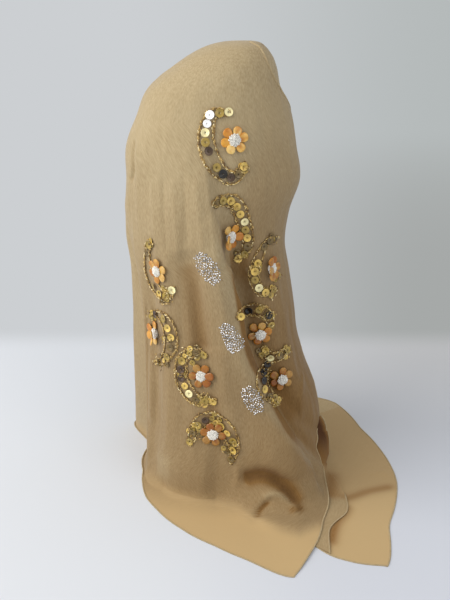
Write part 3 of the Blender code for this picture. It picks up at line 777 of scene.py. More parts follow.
# In the columns of pictureCreases, with a painted shade in place of the rise; a negative shade is a
# painted light
shadeRows = (
    ("layered", "front", 0.02, 30, 26, (
        (175, 462), (205, 474), (240, 486), (275, 497), (305, 500))),
    ("ridgeLine", "front", 0.12, 1.2, 6, (
        (225, 255), (229, 268), (232, 279), (236, 300), (240, 324), (244, 348), (252, 369),
        (267.5, 390), (273.5, 408), (283, 425))),
    ("panelDark", "front", 0.2, 3, 24, (
        (245, 340), (253, 362), (267, 386), (280, 405), (292, 425))),
    ("rimLight", "front", -0.3, 4, 4, ((262, 499), (274, 494), (288, 500), (300, 514))),
    ("creaseShade", "front", 0.6, 2.6, 2.6, ((269, 502), (261, 509), (257, 518))),
    ("spotShade", "front", 0.6, 3.5, 3.5, ((290, 510), (303, 508))),
    ("ridgePale", "front", -0.25, 16, 1.2, (
        (217, 232), (221, 250), (226, 269), (230, 279), (234.5, 300), (238.5, 324), (242.5, 348),
        (250.5, 369), (265.5, 391), (271, 408), (283, 430))),
    ("breakShade", "front", 0.85, 8, 10, (
        (243, 481), (257, 476), (271, 478), (286, 490), (299, 507))),
    ("panelShade", "front", 0.08, 22, 20, ((246, 452), (258, 462), (280, 472), (306, 478))),
    ("ridgeShade", "front", 0.5, 2, 20, (
        (229.5, 247), (231, 259), (233, 275), (237.5, 300), (241.5, 324), (246, 348),
        (254, 369), (269.5, 391), (275, 408), (288, 433), (306, 453))),
    ("underRidge", "front", 0.1, 20, 3, ((262, 404), (280, 436), (300, 456), (320, 474))),
    ("valleyShade", "front", 0.35, 12, 14, ((186, 262), (193, 290), (198, 325), (202, 352))),
    ("bandShade", "front", 0.22, 9, 9, ((209, 392), (214, 420), (220, 448))),
    ("triangle", "front", -0.2, 9, 9, ((156, 462), (166, 462), (160, 471), (170, 470))),
    ("crownDark", "back", 0.8, 7, 7, ((258, 41), (268, 48), (275, 59), (279, 74), (281, 88))),
    ("slotShade", "back", 0.9, 5, 4, ((319, 414), (321, 430), (322, 445), (321, 460))),
    ("tailShade", "back", 0.55, 6, 6, ((340, 500), (352, 497), (370, 491), (396, 486))),
    ("hemShade", "back", 0.55, 3, 6, ((350, 504), (346, 514), (337, 524), (333, 536), (332, 546))),
    ("nearShade", "back", 0.6, 8, 11, ((330, 470), (331, 490), (331, 510), (327, 535), (318, 556))),
)


# How much of the painted single-layer light the tail and the back take, and how much painted shade
# darkens the low parts, the side right of the ridge and the layered band on the tail
shadeLook = {
    "tailSingleLight": 0.75, "tailHem": 0.2, "backSingleLight": 0.45, "frontLow": 0.55, "backLow": 0.3,
    "rightOfRidge": 0.12, "rightBelow": 0.16, "tailBand": 0.24,
}


def pastLine(value, line, at):
    # How far a picture place lies past a line that is given as (at, value) pairs
    return value - np.interp(at, *np.array(line, float).T)


seenX, seenY = pictureOf(points)
ofFront = np.arange(columns)[None] <= grooveColumn
ofTail = (turns < -330.0) & ~ofFront
flat = easeDown(points[..., 2], 24.0, 20.0) * smoothStep((levelGrid - wallEnd) / 0.3)
edgeSoft = np.interp(seenX, (145, 200, 245, 262), (60, 40, 24, 18))
frontSingleLight = smoothStep(pastLine(seenY, singleEdge, seenX) / edgeSoft + 0.4)
tailSide = [(y, x) for x, y in tailEdge]
tailSingleLight = smoothStep(pastLine(seenX, tailSide, seenY) / 6.0 + 0.5)
tailSingleLight = tailSingleLight * smoothStep(pastLine(seenY, tailLow, seenX) / 16.0 + 0.3)
tailBand = shadeLook["tailBand"] * (1.0 - tailSingleLight)
tailShare = shadeLook["tailSingleLight"] + shadeLook["tailHem"] * tailSingleLight
singleLayerLight = np.where(ofTail, tailShare, shadeLook["backSingleLight"])
singleLayerLight = np.where(ofFront, frontSingleLight, singleLayerLight) * flat
# Painted shade: darker towards the bottom, and on the front right of the ridge line
low = easeUp(seenY, 110.0, 280.0)
past = pastLine(seenX, [(y, x) for x, y in ridgeLine], seenY) - 2.0
right = smoothStep(past / np.interp(seenY, (140, 230), (45, 12)))
below = easeUp(seenY, 80.0, 90.0)
right = right * (shadeLook["rightOfRidge"] + shadeLook["rightBelow"] * below)
shade = np.where(
    ofFront, (shadeLook["frontLow"] * low + right) * (1.0 - frontSingleLight * flat),
    shadeLook["backLow"] * low * (seenX < 200.0) + tailBand * ofTail * flat,
)
trees.extend(treeOf(points[:, own]) for own in ownColumns.values())
for where, own in ownColumns.items():
    chosen = [row for row in shadeRows if row[1] == where]
    shade[:, own] += pictureRise(points[:, own], pointNormals[:, own], chosen)
print("scarf grid", rows, "by", columns)


def sheetFrom(name, first, last):
    # A slice of the scarf's grid, closed over the crown by a fan to the crown's own vertex
    part = slice(first, last + 1)
    count = last + 1 - first
    crown = [section("centre", 0.0), 0.0, section("height", 0.0)]
    ring = np.arange(count)
    fan = np.stack([ring[:-1], np.full(count - 1, rows * count), ring[1:]], axis=-1)

    def withCrown(grid, end):
        grid = grid[:, part]
        return np.concatenate([grid.reshape(-1, *grid.shape[2:]), [end]])

    return makeMesh(
        name, withCrown(points, crown), [gridFaces(rows, count), fan], clothMaterial,
        withCrown(clothMap, [0.0, 0.0]), withCrown(pointNormals, [0.0, 0.0, 1.0]),
        {
            "crownBlend": withCrown(crownBlend, 1.0), "singleLayerLight": withCrown(singleLayerLight, 0.0),
            "shade": withCrown(shade, 0.0),
        },
    )


scarfFront = sheetFrom("scarf_front", 0, grooveColumn)
scarfBack = sheetFrom("scarf_back", grooveColumn, columns - 1)
print("scarf sheets made")


# The second layer of the folded square, between the front panel and the tail
underColumns = ("edge", "edgeLevel", "hidden", "hiddenLevel", "lift")
underRows = (
    (-368.7, 15.1, -386, 15.1, 8.5),
    (-369, 15.36, -389, 15.4, 12.0),
    (-368.5, 15.7, -392, 15.7, 13.8),
    (-370, 16.0, -397, 15.98, 14.9),
    (-370.8, 16.14, -401, 16.1, 12.9),
    (-371.6, 16.36, -405, 16.25, 8.0),
    (-375.3, 16.42, -407, 16.33, 2.9),
    (-380, 16.43, -408, 16.37, 0.8),
    (-388, 16.56, -411, 16.44, 0),
    (-393.7, 16.64, -413, 16.47, 0),
    (-399.8, 16.69, -415, 16.50, 0),
    (-407, 16.64, -417, 16.52, 0),
    (-412, 16.65, -418.5, 16.55, 0),
    (-417.8, 16.76, -420.4, 16.62, 0),
)
# along and across: grid size; gap: lift off the tail; shade, slotShade and slotEdge: painted shade;
# single: share of the painted single-layer light
underLayer = {
    "along": 160, "across": 36, "gap": 1.1, "shade": 0.25, "singleLayerLight": 0.25, "slotShade": 1.75,
    "slotEdge": 0.4,
}


def drapeNormal(turn, level, aside=0.25, down=0.01):
    # Unit cross product of small steps across and down, turned up where it looks down
    across = drapePoint(turn - aside, level) - drapePoint(turn + aside, level)
    below = drapePoint(turn, level + down) - drapePoint(turn, level - down)
    normal = unit(np.cross(across, below))
    return normal * np.where(normal[..., 2:] < -0.2, -1.0, 1.0)


def underSheet():
    # Rows of the table splined along the hem, straight across, lifted off the tail's cloth
    along = np.linspace(0.0, len(underRows) - 1.0, underLayer["along"])
    across = np.linspace(0.0, 1.0, underLayer["across"])
    table = columnsOf(underRows, underColumns)
    value = {name: spline(withEnds(column), along)[:, None] for name, column in table.items()}
    turn = value["edge"] + (value["hidden"] - value["edge"]) * across
    level = value["edgeLevel"] + (value["hiddenLevel"] - value["edgeLevel"]) * across
    lift = underLayer["gap"] + value["lift"] * (1.0 - across) ** 3
    spots = drapePoint(turn, level) + drapeNormal(turn, level) * lift[..., None]
    return softened(spots, 6, 3.0, mode="reflect", reflect_type="odd")


# It takes the tail's own relief, colour (painted shade and painted single-layer light) and normals
# where it lies on the tail
underPoints = underSheet()
ownTail = (turns < -330.0) & (levelGrid > 15.5) & (turns > -425.0)
tailTree = KDTree(int(ownTail.sum()))
for place, spot in enumerate(base[ownTail]):
    tailTree.insert(spot.tolist(), place)
tailTree.balance()
nearest = np.array([tailTree.find(spot.tolist())[1] for spot in underPoints.reshape(-1, 3)])


def fromTail(values):
    # The tail's values at the under layer's nearest points
    values = values[ownTail][nearest]
    return values.reshape(*underPoints.shape[:2], *values.shape[1:])


settled = smoothStep((pictureOf(underPoints)[1] - 464.0) / 8.0)
underPoints = underPoints + fromTail(points - base) * settled[..., None]
underNormals = gridNormals(underPoints, (0.0, 0.0, 1.0))
underArc, underDown = (
    np.cumsum(np.linalg.norm(np.gradient(underPoints, axis=axis), axis=2), axis=axis)
    for axis in (1, 0)
)
underX, underY = pictureOf(underPoints)
inSlot = easeDown(underY, 472.0, 10.0) * easeUp(underArc, 1.0, 4.0)
deep = easeDown(underY, 462.0, 30.0) * easeUp(underArc, 2.0, 9.0)
tailLike = easeDown(underY, 502.0, 8.0) * (1.0 - inSlot)
slotDepth = underLayer["slotEdge"] + (1.0 - underLayer["slotEdge"]) * deep


def tailMix(own, values, share=tailLike):
    # own + (the tail's value - own) * share
    return own + (fromTail(values) - own) * share


# Painted shade in the slot between the front hem and the under layer's hem, darkest high up and
# away from its hem
underShade = tailMix(underLayer["shade"], shade) + underLayer["slotShade"] * inSlot * slotDepth
underSingleLight = tailMix(underLayer["singleLayerLight"], singleLayerLight)
underNormals = unit(tailMix(underNormals, pointNormals, tailLike[..., None]))
scarfUnder = makeMesh(
    "scarf_under", underPoints, [gridFaces(*underPoints.shape[:2])], clothMaterial,
    np.stack([underArc, underDown], axis=-1) * mm, underNormals,
    {
        "crownBlend": np.zeros(underX.size), "singleLayerLight": underSingleLight.ravel(),
        "shade": underShade.ravel(),
    },
)


# Rolled hems: a thin oval tube along each edge of the cloth, whose thickness wavers a little
# single: the hems' share of the painted single-layer light
hemRoll = {
    "halfWidth": 0.85, "halfThickness": 0.55, "segments": 8, "inset": 0.5, "lowest": 0.1,
    "waver": 0.12, "singleLayerLight": 0.1, "brow": 0.9, "buried": 0.9,
}


def hemTube(name, path, normals, inward, size=1.0):
    # Ellipse rings square to the path, flat side on the cloth
    look, count = hemRoll, len(path)
    side = unit(np.cross(unit(np.gradient(path, axis=0)), normals))
    side = side * np.where((side * inward).sum(axis=1, keepdims=True) < 0.0, -1.0, 1.0)
    centre = path + side * look["inset"]
    angle = ringAngles(look["segments"])
    step = np.arange(count)
    wave = 1.0 + look["waver"] * np.sin(step * 0.9 + 1.3 * np.sin(step * 0.23))
    size = np.broadcast_to(np.asarray(size, float), (count,))[:, None]
    flatReach = np.cos(angle) * look["halfWidth"] * size
    upReach = np.sin(angle) * look["halfThickness"] * wave[:, None] * size
    ring = side[:, None] * flatReach[..., None] + unit(normals)[:, None] * upReach[..., None]
    ring = centre[:, None] + ring
    ring[..., 2] = np.maximum(ring[..., 2], look["lowest"])
    hemMap = np.stack(
        np.broadcast_arrays(angle[None] * 0.6, -walkedAlong(path)[:, None]), axis=-1
    ) * mm
    total = count * look["segments"]
    return makeMesh(
        name, ring, tubeFaces(count, look["segments"]), clothMaterial, hemMap, None,
        {"crownBlend": np.zeros(total), "singleLayerLight": np.full(total, look["singleLayerLight"])},
    )


def scarfHem(name, edge, inner, size=1.0):
    # A hem along one edge of the scarf's grid; inner is a line of the grid inside that edge
    return hemTube(name, points[edge], pointNormals[edge], points[inner] - points[edge], size)


hemStart = int(np.searchsorted(levels, 1.0))
browSize = 1.0 + hemRoll["brow"] * easeUp(points[hemStart:, 0, 2], 430.0, 30.0)
nearHem = scarfHem("hem_near", np.s_[hemStart:, 0], np.s_[hemStart:, 3], browSize)
farHem = scarfHem("hem_far", np.s_[hemStart:, -1], np.s_[hemStart:, -4])
frontPart, backPart = slice(0, grooveColumn + 1), slice(grooveColumn, columns)
lowFront = scarfHem("hem_low_front", (-1, frontPart), (-4, frontPart))
lowBack = scarfHem("hem_low_back", (-1, backPart), (-4, backPart))
buried = easeUp(underY[:, 0], 459.0, 6.0) * easeDown(underY[:, 0], 497.0, 5.0)
underHem = hemTube(
    "hem_under", underPoints[:, 0], underNormals[:, 0], underPoints[:, 3] - underPoints[:, 0],
    1.0 - hemRoll["buried"] * buried,
)
print("hems made")

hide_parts("drape_near")
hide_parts("drape_back", "drape_tail")
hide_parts("tail_fold")
for item in (scarfFront, scarfBack, scarfUnder, nearHem, lowFront, farHem, lowBack, underHem):
    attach(item, "root")


def clothUnder(point, normal, reach=14.0):
    # Drop along the normal onto the front sheet; the height of the cloth above the given point
    over = point + normal * reach
    hit = trees[0].ray_cast(over.tolist(), (-normal).tolist(), 2.0 * reach)
    return 0.0 if hit[0] is None else reach - hit[3]


def frameOf(normal):
    # Right, up and facing of a tangent plane
    right = unit(np.cross((0.0, 0.0, 1.0), normal))
    return right, np.cross(normal, right), normal


def turned(first, second, angle):
    # first * cos + second * sin
    return first * math.cos(angle) + second * math.sin(angle)


def joined(name, template, faces, places, bases, tints, material):
    # Copies of one small closed shape as a single mesh: place + template * basis, in mm
    template, places, bases = (np.asarray(value, float) for value in (template, places, bases))
    spots = places[:, None] + np.einsum("nk,pkj->pnj", template, bases)
    count = len(template)
    shift = (np.arange(len(places)) * count)[:, None, None]
    every = [(part[None] + shift).reshape(-1, part.shape[1]) for part in faces]
    tints = np.asarray(tints, float)
    if tints.ndim == 2:
        tints = np.repeat(tints[:, None], count, axis=1)
    return makeMesh(name, spots, every, material, values={"tint": tints.reshape(-1, 4)})


def latheParts(profile, segments):
    # A profile of (radius, height) turned round
    angle = ringAngles(segments)
    radius, height = np.array(profile, float).T[..., None]
    return np.stack(
        [radius * np.cos(angle), radius * np.sin(angle), height + 0.0 * angle], axis=-1
    ).reshape(-1, 3)


def ballParts(around, along):
    # A unit ball: rings between two poles, poles last
    fall = np.linspace(0.0, np.pi, along + 2)[1:-1]
    ring = latheParts(np.stack([np.sin(fall), np.cos(fall)], axis=-1), around)
    spots = np.concatenate([ring, [[0.0, 0.0, 1.0], [0.0, 0.0, -1.0]]])
    first = np.arange(around)
    last = first + (along - 1) * around
    pole = np.full(around, along * around)
    top = np.stack([first, np.roll(first, -1), pole], axis=-1)
    end = np.stack([np.roll(last, -1), last, pole + 1], axis=-1)
    return spots, [gridFaces(along, around, closed=True)[:, ::-1], top, end]


# The flowers: direction, height, width across, turn, how far each one leans right and up, and
# how much painted shade darkens its amber
flowerColumns = ("direction", "height", "across", "turn", "leanRight", "leanUp", "tone")
flowers = (
    (-72.7, 408, 29, 10, 2, 3, 1.0),
    (-76.0, 309, 29, 0, 28, 0, 0.84),
    (-130.8, 269, 29, 20, 8, -4, 0.76),
    (-41.0, 268, 29, 0, 41, 0, 0.64),
    (-52.0, 195, 29, 15, 2, 2, 0.68),
    (-141.0, 189, 29, 30, -40, 0, 0.92),
    (-97.0, 156, 29, 5, -3, 3, 0.49),
    (-37.8, 135, 29, 25, 5, 6, 0.54),
    (-89.7, 88, 29, 50, 0, -3, 0.47),
)
flowerLook = {
    "root": 3.4, "tip": 14.5, "halfWidth": 4.6, "halfThickness": 1.25, "gap": 0.7,
    "domeRadius": 6.5, "domeTop": 5.4, "beads": 56, "bead": 0.95, "turnStep": 2.39996,
    "core": ((0.4, 0.0), (4.9, 0.0), (5.2, 1.0), (4.6, 2.6), (2.6, 3.9), (0.4, 4.2)),
    "coreColour": (232, 230, 226), "beadColour": (240, 238, 229), "beadShades": (0.74, 1.0),
    "beadSizes": (0.9, 1.1), "wander": 0.2, "swing": 5.0, "roll": 0.25, "tips": (-0.6, 0.3),
    "widths": (0.93, 1.06), "thicknesses": (0.95, 1.1), "probe": 2.5,
    "petals": ((234, 170, 58), (244, 198, 100), (212, 138, 42), (248, 212, 130), (224, 156, 54)),
}


def petalParts():
    # A flattened egg from -1 to 1 along x, wider towards the tip, a soft hollow on top
    spots, faces = ballParts(18, 11)
    y, z, x = spots.T
    y = y * (1.0 + 0.24 * x)
    hollow = np.exp(-(x ** 2 + y ** 2) / 0.3) * (z > 0.0)
    z = np.sign(z) * np.abs(z) ** 0.8 - 0.3 * hollow
    return np.stack([x, -y, z], axis=-1), [part[:, ::-1] for part in faces]


def makeFlower(number, row):
    # Six petals laid from the dome outwards on the cloth's own height, then a dome of beads
    look = flowerLook
    flower = dict(zip(flowerColumns, row))
    local = np.random.default_rng(700 + number)
    level = levelAt(flower["height"])
    middle = drapePoint(flower["direction"], level)
    right, up, facing = frameOf(drapeNormal(flower["direction"], level, 2.0, 0.1))
    lean = [math.tan(math.radians(flower[key])) for key in ("leanRight", "leanUp")]

    def rise(x, y):
        # The cloth's height at a spot, lifted on the side that the flower leans away from
        over = middle + right * x + up * y
        cloth = max(
            clothUnder(over + (right * a + up * b) * look["probe"], facing)
            for a, b in ((0, 0), (1, 0), (-1, 0), (0, 1), (0, -1))
        )
        return cloth + max(0.0, -x * lean[0] - y * lean[1])

    template, faces = petalParts()
    places, bases, tints = [], [], []
    reach = flower["across"] / 29.0
    lift = look["gap"] + look["halfThickness"]
    for petal in range(6):
        swing = local.uniform(-look["swing"], look["swing"])
        way = math.radians(flower["turn"] + 60.0 * petal + swing)
        c, s = math.cos(way), math.sin(way)
        root, tip = look["root"] * reach, (look["tip"] + local.uniform(*look["tips"])) * reach
        heights = [rise(c * r, s * r) for r in (root + 1.5, (root + tip) / 2.0, tip - 1.5)]
        low = (heights[0] + max(heights[0], heights[1])) / 2.0 + lift
        high = max(heights[2], heights[1] - 1.0) + lift + 0.5
        start = middle + turned(right, up, way) * root + facing * low
        end = middle + turned(right, up, way) * tip + facing * high
        along = (end - start) / 2.0
        side = turned(up, -right, way) * look["halfWidth"] * local.uniform(*look["widths"])
        roll = local.uniform(-look["roll"], look["roll"])
        top = unit(np.cross(along, side)) * look["halfThickness"]
        top = top * local.uniform(*look["thicknesses"])
        places.append((start + end) / 2.0)
        bases.append(np.stack([along, side + top * roll, top - side * roll * 0.08]))
        first = np.array(colourOf(*look["petals"][(petal + number * 2) % 5]))
        second = np.array(colourOf(*look["petals"][(petal * 3 + number) % 5]))
        mix = smoothStep(0.5 + 0.5 * template[:, 0] + 0.3 * np.sin(template[:, 1] * 5 + petal))
        # Painted shade: each flower's tone darkens its petals, green and blue more than red
        tint = (first + (second - first) * mix[:, None]) * flower["tone"]
        tint[:, 1:3] *= (flower["tone"] ** 0.35, flower["tone"])
        tint[:, 3] = 1.0
        tints.append(tint)
    petals = joined(f"petals_{number}", template, faces, places, bases, tints, petalMaterial)

    centre = max(rise(0.0, 0.0), 0.0) + look["gap"]
    count = look["beads"]
    spread = np.sqrt((np.arange(count) + 0.5) / count)
    spread = spread * (look["domeRadius"] - look["bead"] * 0.4)
    angle = np.arange(count) * look["turnStep"] + number
    fall = 1.0 - (spread / (look["domeRadius"] * 1.12)) ** 2
    height = (look["domeTop"] - look["bead"]) * np.sqrt(np.maximum(fall, 0.0))
    height = centre + height + local.uniform(-0.25, 0.25, count)
    offset = np.stack([spread * np.cos(angle), spread * np.sin(angle), height], axis=-1)
    offset[:, :2] += local.uniform(-look["wander"], look["wander"], (count, 2))
    axes = np.stack([right, up, facing])
    sizes = look["bead"] * local.uniform(*look["beadSizes"], count)
    shades = local.uniform(*look["beadShades"], (count, 1)) * colourOf(*look["beadColour"])
    shades[:, 3] = 1.0
    beads = joined(
        f"beads_{number}", *ballParts(8, 5), middle + offset @ axes,
        sizes[:, None, None] * np.eye(3), shades, beadMaterial,
    )
    pad = joined(
        f"dome_{number}", latheParts(look["core"], 16), tubeFaces(len(look["core"]), 16),
        [middle + facing * centre], [axes], [colourOf(*look["coreColour"])], beadMaterial,
    )
    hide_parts(f"flower_{number}")
    for item in (petals, beads, pad):
        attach(item, "root")


petalMaterial = tintedMaterial("amber_petals", 0.3, 0.35, through=0.12, mottle=0.6)
beadMaterial = tintedMaterial("white_beads", 0.25, 0.5)
for number, row in enumerate(flowers, start=1):
    makeFlower(number, row)
print("flowers made")


# The crescents: picture places down the middle of each, how far in pixels its edges stand off at
# the start and at the end, and its sequins in order along it, where a dash leaves a gap
crescents = (
    (((233, 112), (212, 115), (206, 134), (209, 154), (219, 171), (234, 178), (246, 163)), (7, 9),
     "pale olive white white pale olive brown - olive black brown deep gold"),
    (((211, 206), (222, 201), (235, 203), (243, 220), (248, 241), (244, 254), (234, 260)), (9, 4),
     "deep olive gold gold gold pale olive gold deep olive gold"),
    (((152, 240), (148, 252), (149, 270), (156, 287), (166, 297), (175, 286)), (3, 5),
     "olive deep - - - olive gold olive pale"),
    (((271, 236), (262, 249), (256, 264), (254, 278), (262, 292), (277, 288)), (4, 5),
     "deep deep - gold gold olive pale gold olive"),
    (((152, 312), (163, 317), (170, 330), (171, 346), (165, 359), (155, 363)), (6, 6),
     "brown olive gold gold deep olive deep"),
    (((236, 319), (246, 311), (260, 310), (269, 317), (271, 330)), (6, 5),
     "gold black olive black olive"),
    (((262, 346), (271, 357), (281, 354), (289, 346)), (5, 4), "gold pale deep olive"),
    (((209, 356), (196, 352), (183, 358), (181, 373), (186, 388), (198, 400), (218, 400)), (5, 7),
     "olive deep - olive brown brown gold pale deep olive gold"),
    (((271, 361), (264, 369), (262, 381), (266, 393), (279, 405)), (6, 6),
     "black black black gold deep olive"),
    (((190, 446), (194, 431), (203, 420), (216, 421), (229, 433), (234, 448), (231, 463)), (7, 7),
     "olive deep olive brown - gold gold olive gold deep"),
)
tintColours = {
    "white": (255, 255, 255), "pale": (240, 228, 172), "gold": (214, 182, 92),
    "olive": (164, 138, 62), "deep": (116, 94, 46), "brown": (76, 54, 32), "black": (24, 18, 12),
}
# Busy ends where small sequins and beads overlap: picture place, radius, sequins, beads
clumps = (
    (151, 244, 5, 3, 8), (166, 295, 9, 7, 22), (272, 238, 5, 4, 12), (256, 268, 5, 4, 10),
    (266, 292, 8, 5, 12), (276, 276, 5, 2, 12), (153, 315, 5, 3, 8), (168, 338, 5, 4, 10),
    (163, 361, 9, 6, 20), (232, 203, 7, 4, 8), (240, 254, 7, 4, 10), (244, 168, 5, 3, 10),
    (268, 315, 6, 3, 16), (264, 352, 8, 5, 14), (283, 352, 7, 4, 14), (192, 354, 10, 8, 18),
    (182, 372, 5, 4, 8), (204, 400, 8, 6, 14), (266, 372, 5, 3, 8), (273, 400, 7, 5, 12),
    (196, 430, 8, 7, 14), (215, 420, 8, 5, 10), (230, 448, 8, 7, 16), (262, 310, 7, 2, 8),
)
# The sequins' outline by radius and height, their widths and lifts in mm, and how strong the
# painted highlight across each is
sequinLook = {
    "profile": (
        (0.12, 0.03), (0.55, 0.03), (0.8, 0.08), (1.0, 0.17), (1.0, 0.12), (0.8, 0.03),
        (0.55, -0.03), (0.12, -0.03)),
    "widths": (8.2, 9.4), "smallWidths": (5.5, 7.5), "aside": 1.0, "lift": 0.9, "overlap": 0.35,
    "raised": 0.6, "tilt": 0.07, "play": 0.35, "whitePlay": 0.05, "middle": 0.35,
}


def alongLine(places, shares):
    # Places and sideways directions of the smooth line at these shares of its length
    line = finer(places, 12)
    walked = walkedAlong(line)
    at = np.asarray(shares) * walked[-1]
    spots, way = (
        np.stack([np.interp(at, walked, part) for part in values.T], axis=-1)
        for values in (line, np.gradient(line, axis=0))
    )
    return spots, unit(way)[:, ::-1] * (1.0, -1.0)


def crescentEdges(spine, swell):
    # The middle line on either side, times the swell and sin(pi t)^0.6, which closes both ends
    shares = np.linspace(0.0, 1.0, 150)
    spots, aside = alongLine(spine, shares)
    swell = np.interp(shares, (0.0, 1.0), swell)
    swell = swell * np.maximum(np.sin(np.pi * shares), 0.0) ** 0.6
    return [spots + aside * swell[:, None] * side for side in (-1.0, 1.0)]


def sequinPlaces(local):
    # Small ones in a spiral at the busy ends, then each crescent's own, evenly along its middle
    every = []
    for px, py, spread, count, beads in clumps:
        for step in range(count):
            turn = flowerLook["turnStep"] * step + px
            out = spread * math.sqrt((step + 0.5) / count) * 0.85
            colour = ("olive", "deep", "olive", "gold")[int(local.integers(4))]
            place = (px + out * math.cos(turn), py + out * math.sin(turn))
            every.append((*place, colour, local.uniform(*sequinLook["smallWidths"]), 0.0))
    for spine, swell, words in crescents:
        words = words.split()
        spots, aside = alongLine(spine, (np.arange(len(words)) + 0.5) / len(words))
        reach = sequinLook["aside"]
        spots = spots + aside * local.uniform(-reach, reach, (len(words), 1))
        every.extend(
            (*spot, word, local.uniform(*sequinLook["widths"]), sequinLook["raised"])
            for spot, word in zip(spots, words) if word != "-"
        )
    return every


def makeSequins():
    # Cupped discs facing along the cloth's normal, each with a painted highlight on one side and
    # painted shade on the other
    look = sequinLook
    template = latheParts(look["profile"], 16)
    quads = gridFaces(len(look["profile"]), 16, closed=True, ring=True)
    quads = np.roll(quads[:, ::-1], 1, axis=1)
    local = np.random.default_rng(88)
    angle = np.arctan2(template[:, 1], template[:, 0])
    radius = np.hypot(template[:, 0], template[:, 1])
    places, bases, tints = [], [], []
    for order, (px, py, colour, width, higher) in enumerate(sequinPlaces(local)):
        hit = pixelHit(px, py)
        if hit is None:
            continue
        point, normal = hit
        axes = np.stack(frameOf(unit(normal + local.normal(0.0, look["tilt"], 3))))
        places.append(point + axes[2] * (look["lift"] + look["overlap"] * (order % 3) + higher))
        bases.append(axes * width / 2.0)
        # Painted highlight and shade: the tint is lighter towards a random side and darker on the
        # opposite one
        light = local.uniform(0.0, 2.0 * np.pi)
        play = look["whitePlay" if colour == "white" else "play"]
        shade = 1.0 + play * radius * np.cos(angle - light) * local.uniform(0.5, 1.0)
        shade = shade * (1.0 - look["middle"] * (radius < 0.3) * (colour != "white"))
        tint = np.array(colourOf(*tintColours[colour])) * shade[:, None]
        tint[:, 3] = 1.0
        tints.append(np.clip(tint, 0.0, 1.0))
    return joined("sequins", template, [quads], places, bases, tints, sequinMaterial)


sequinMaterial = tintedMaterial("sequin_film", 0.3, 0.35, metallic=0.15)
sequinSheet = makeSequins()

# Short gold bugle beads along both edges of each crescent, in two strands
beadLook = {
    "profile": ((0.4, -1.0), (1.0, -0.86), (1.0, 0.86), (0.4, 1.0)),
    "spacing": 1.7, "length": 2.5, "width": 0.58, "skip": 0.05, "swing": 0.42, "tip": 0.1,
    "wander": 0.45, "lift": 0.55, "looseSwing": 0.5, "looseTip": 0.25, "looseLift": 2.0,
    "strands": (
        (-0.35, ((214, 188, 122), (184, 152, 84), (236, 218, 166), (146, 114, 58))),
        (0.85, ((146, 114, 58), (172, 138, 72), (118, 90, 48), (196, 164, 96))),
    ),
}


def makeBeads():
    # Six-sided tubes with closed ends, in rows along the crescents' edges and loose in the clumps
    look = beadLook
    template = latheParts(look["profile"], 6)[:, [2, 0, 1]]
    local = np.random.default_rng(23)
    places, bases, tints = [], [], []

    def lay(place, along, normal, length, size, tones):
        side = unit(np.cross(normal, along))
        top = np.cross(along, side)
        places.append(place)
        bases.append(np.stack([along * length, side * size, top * size]))
        tints.append(colourOf(*tones[local.integers(len(tones))]))

    edges = [edge for spine, swell, words in crescents for edge in crescentEdges(spine, swell)]
    for path, (aside, tones) in itertools.product(edges, look["strands"]):
        hits = [hit for hit in (pixelHit(px, py) for px, py in path) if hit is not None]
        spots = np.array([hit[0] for hit in hits])
        steps = np.linalg.norm(np.diff(spots, axis=0), axis=1)
        walked = np.concatenate([[0.0], np.cumsum(np.minimum(steps, 4.0))])
        for stop in np.arange(1.2, walked[-1], look["spacing"]):
            if local.random() < look["skip"]:
                continue
            near = min(int(np.searchsorted(walked, stop)), len(spots) - 1)
            point, normal = hits[near]
            way = spots[min(near + 2, len(spots) - 1)] - spots[max(near - 2, 0)]
            way = unit(way - normal * (way @ normal))
            side = np.cross(normal, way)
            point = point + side * aside
            swing = local.normal(0.0, look["swing"])
            along = unit(turned(way, side, swing) + normal * local.normal(0.0, look["tip"]))
            side = unit(np.cross(normal, along))
            size = look["width"] * local.uniform(0.85, 1.15)
            length = look["length"] / 2.0 * local.uniform(0.7, 1.15)
            point = point + side * local.normal(0.0, look["wander"])
            point = point + normal * (look["lift"] + size)
            lay(point, along, normal, length, size, tones)
    for px, py, spread, count, beads in clumps:
        for step in range(beads):
            turn = local.uniform(0.0, 2.0 * np.pi)
            out = spread * math.sqrt(local.random()) * 1.15
            hit = pixelHit(px + out * math.cos(turn), py + out * math.sin(turn))
            if hit is None:
                continue
            point, normal = hit
            right, up, facing = frameOf(normal)
            swing = turn + math.pi / 2.0 + local.normal(0.0, look["looseSwing"])
            tip = local.normal(0.0, look["looseTip"])
            along = unit(turned(right, -up, swing) + normal * tip)
            size = look["width"] * local.uniform(0.8, 1.1)
            tones = look["strands"][step % 2][1]
            point = point + normal * (look["looseLift"] + size)
            lay(point, along, normal, look["length"] / 2.0, size, tones)
    print("bead count", len(places))
    faces = tubeFaces(len(look["profile"]), 6)
    return joined("gold_beads", template, faces, places, bases, tints, goldMaterial)


goldMaterial = tintedMaterial("gold_bugle", 0.3, 0.5, metallic=0.35)
beadSheet = makeBeads()

# Stone clusters: picture places down the middle of each, half widths in pixels there, and count
stoneClusters = (
    (((197, 255), (202, 260), (208, 268), (213, 276), (217, 283)), (4, 8, 9.5, 8.5, 4), 116),
    (((222, 325), (226, 329), (231, 336), (235, 344), (238, 351)), (3.5, 6, 8.5, 9.5, 6), 116),
    (((246, 387), (248, 392), (252, 399), (256, 406), (259, 413)), (4, 7.5, 9, 8, 4.5), 92),
)
stoneLook = {
    "radius": 0.86, "gap": 1.6, "sink": 0.45, "tilt": 0.16, "colour": (0.93, 0.94, 0.97),
    "profile": ((1.0, 0.0), (1.0, 0.25), (0.58, 0.75)),
    "tones": (1.0, 0.8, 0.55, 0.3), "shares": (0.35, 0.25, 0.25, 0.15), "sizes": (0.8, 1.15),
}


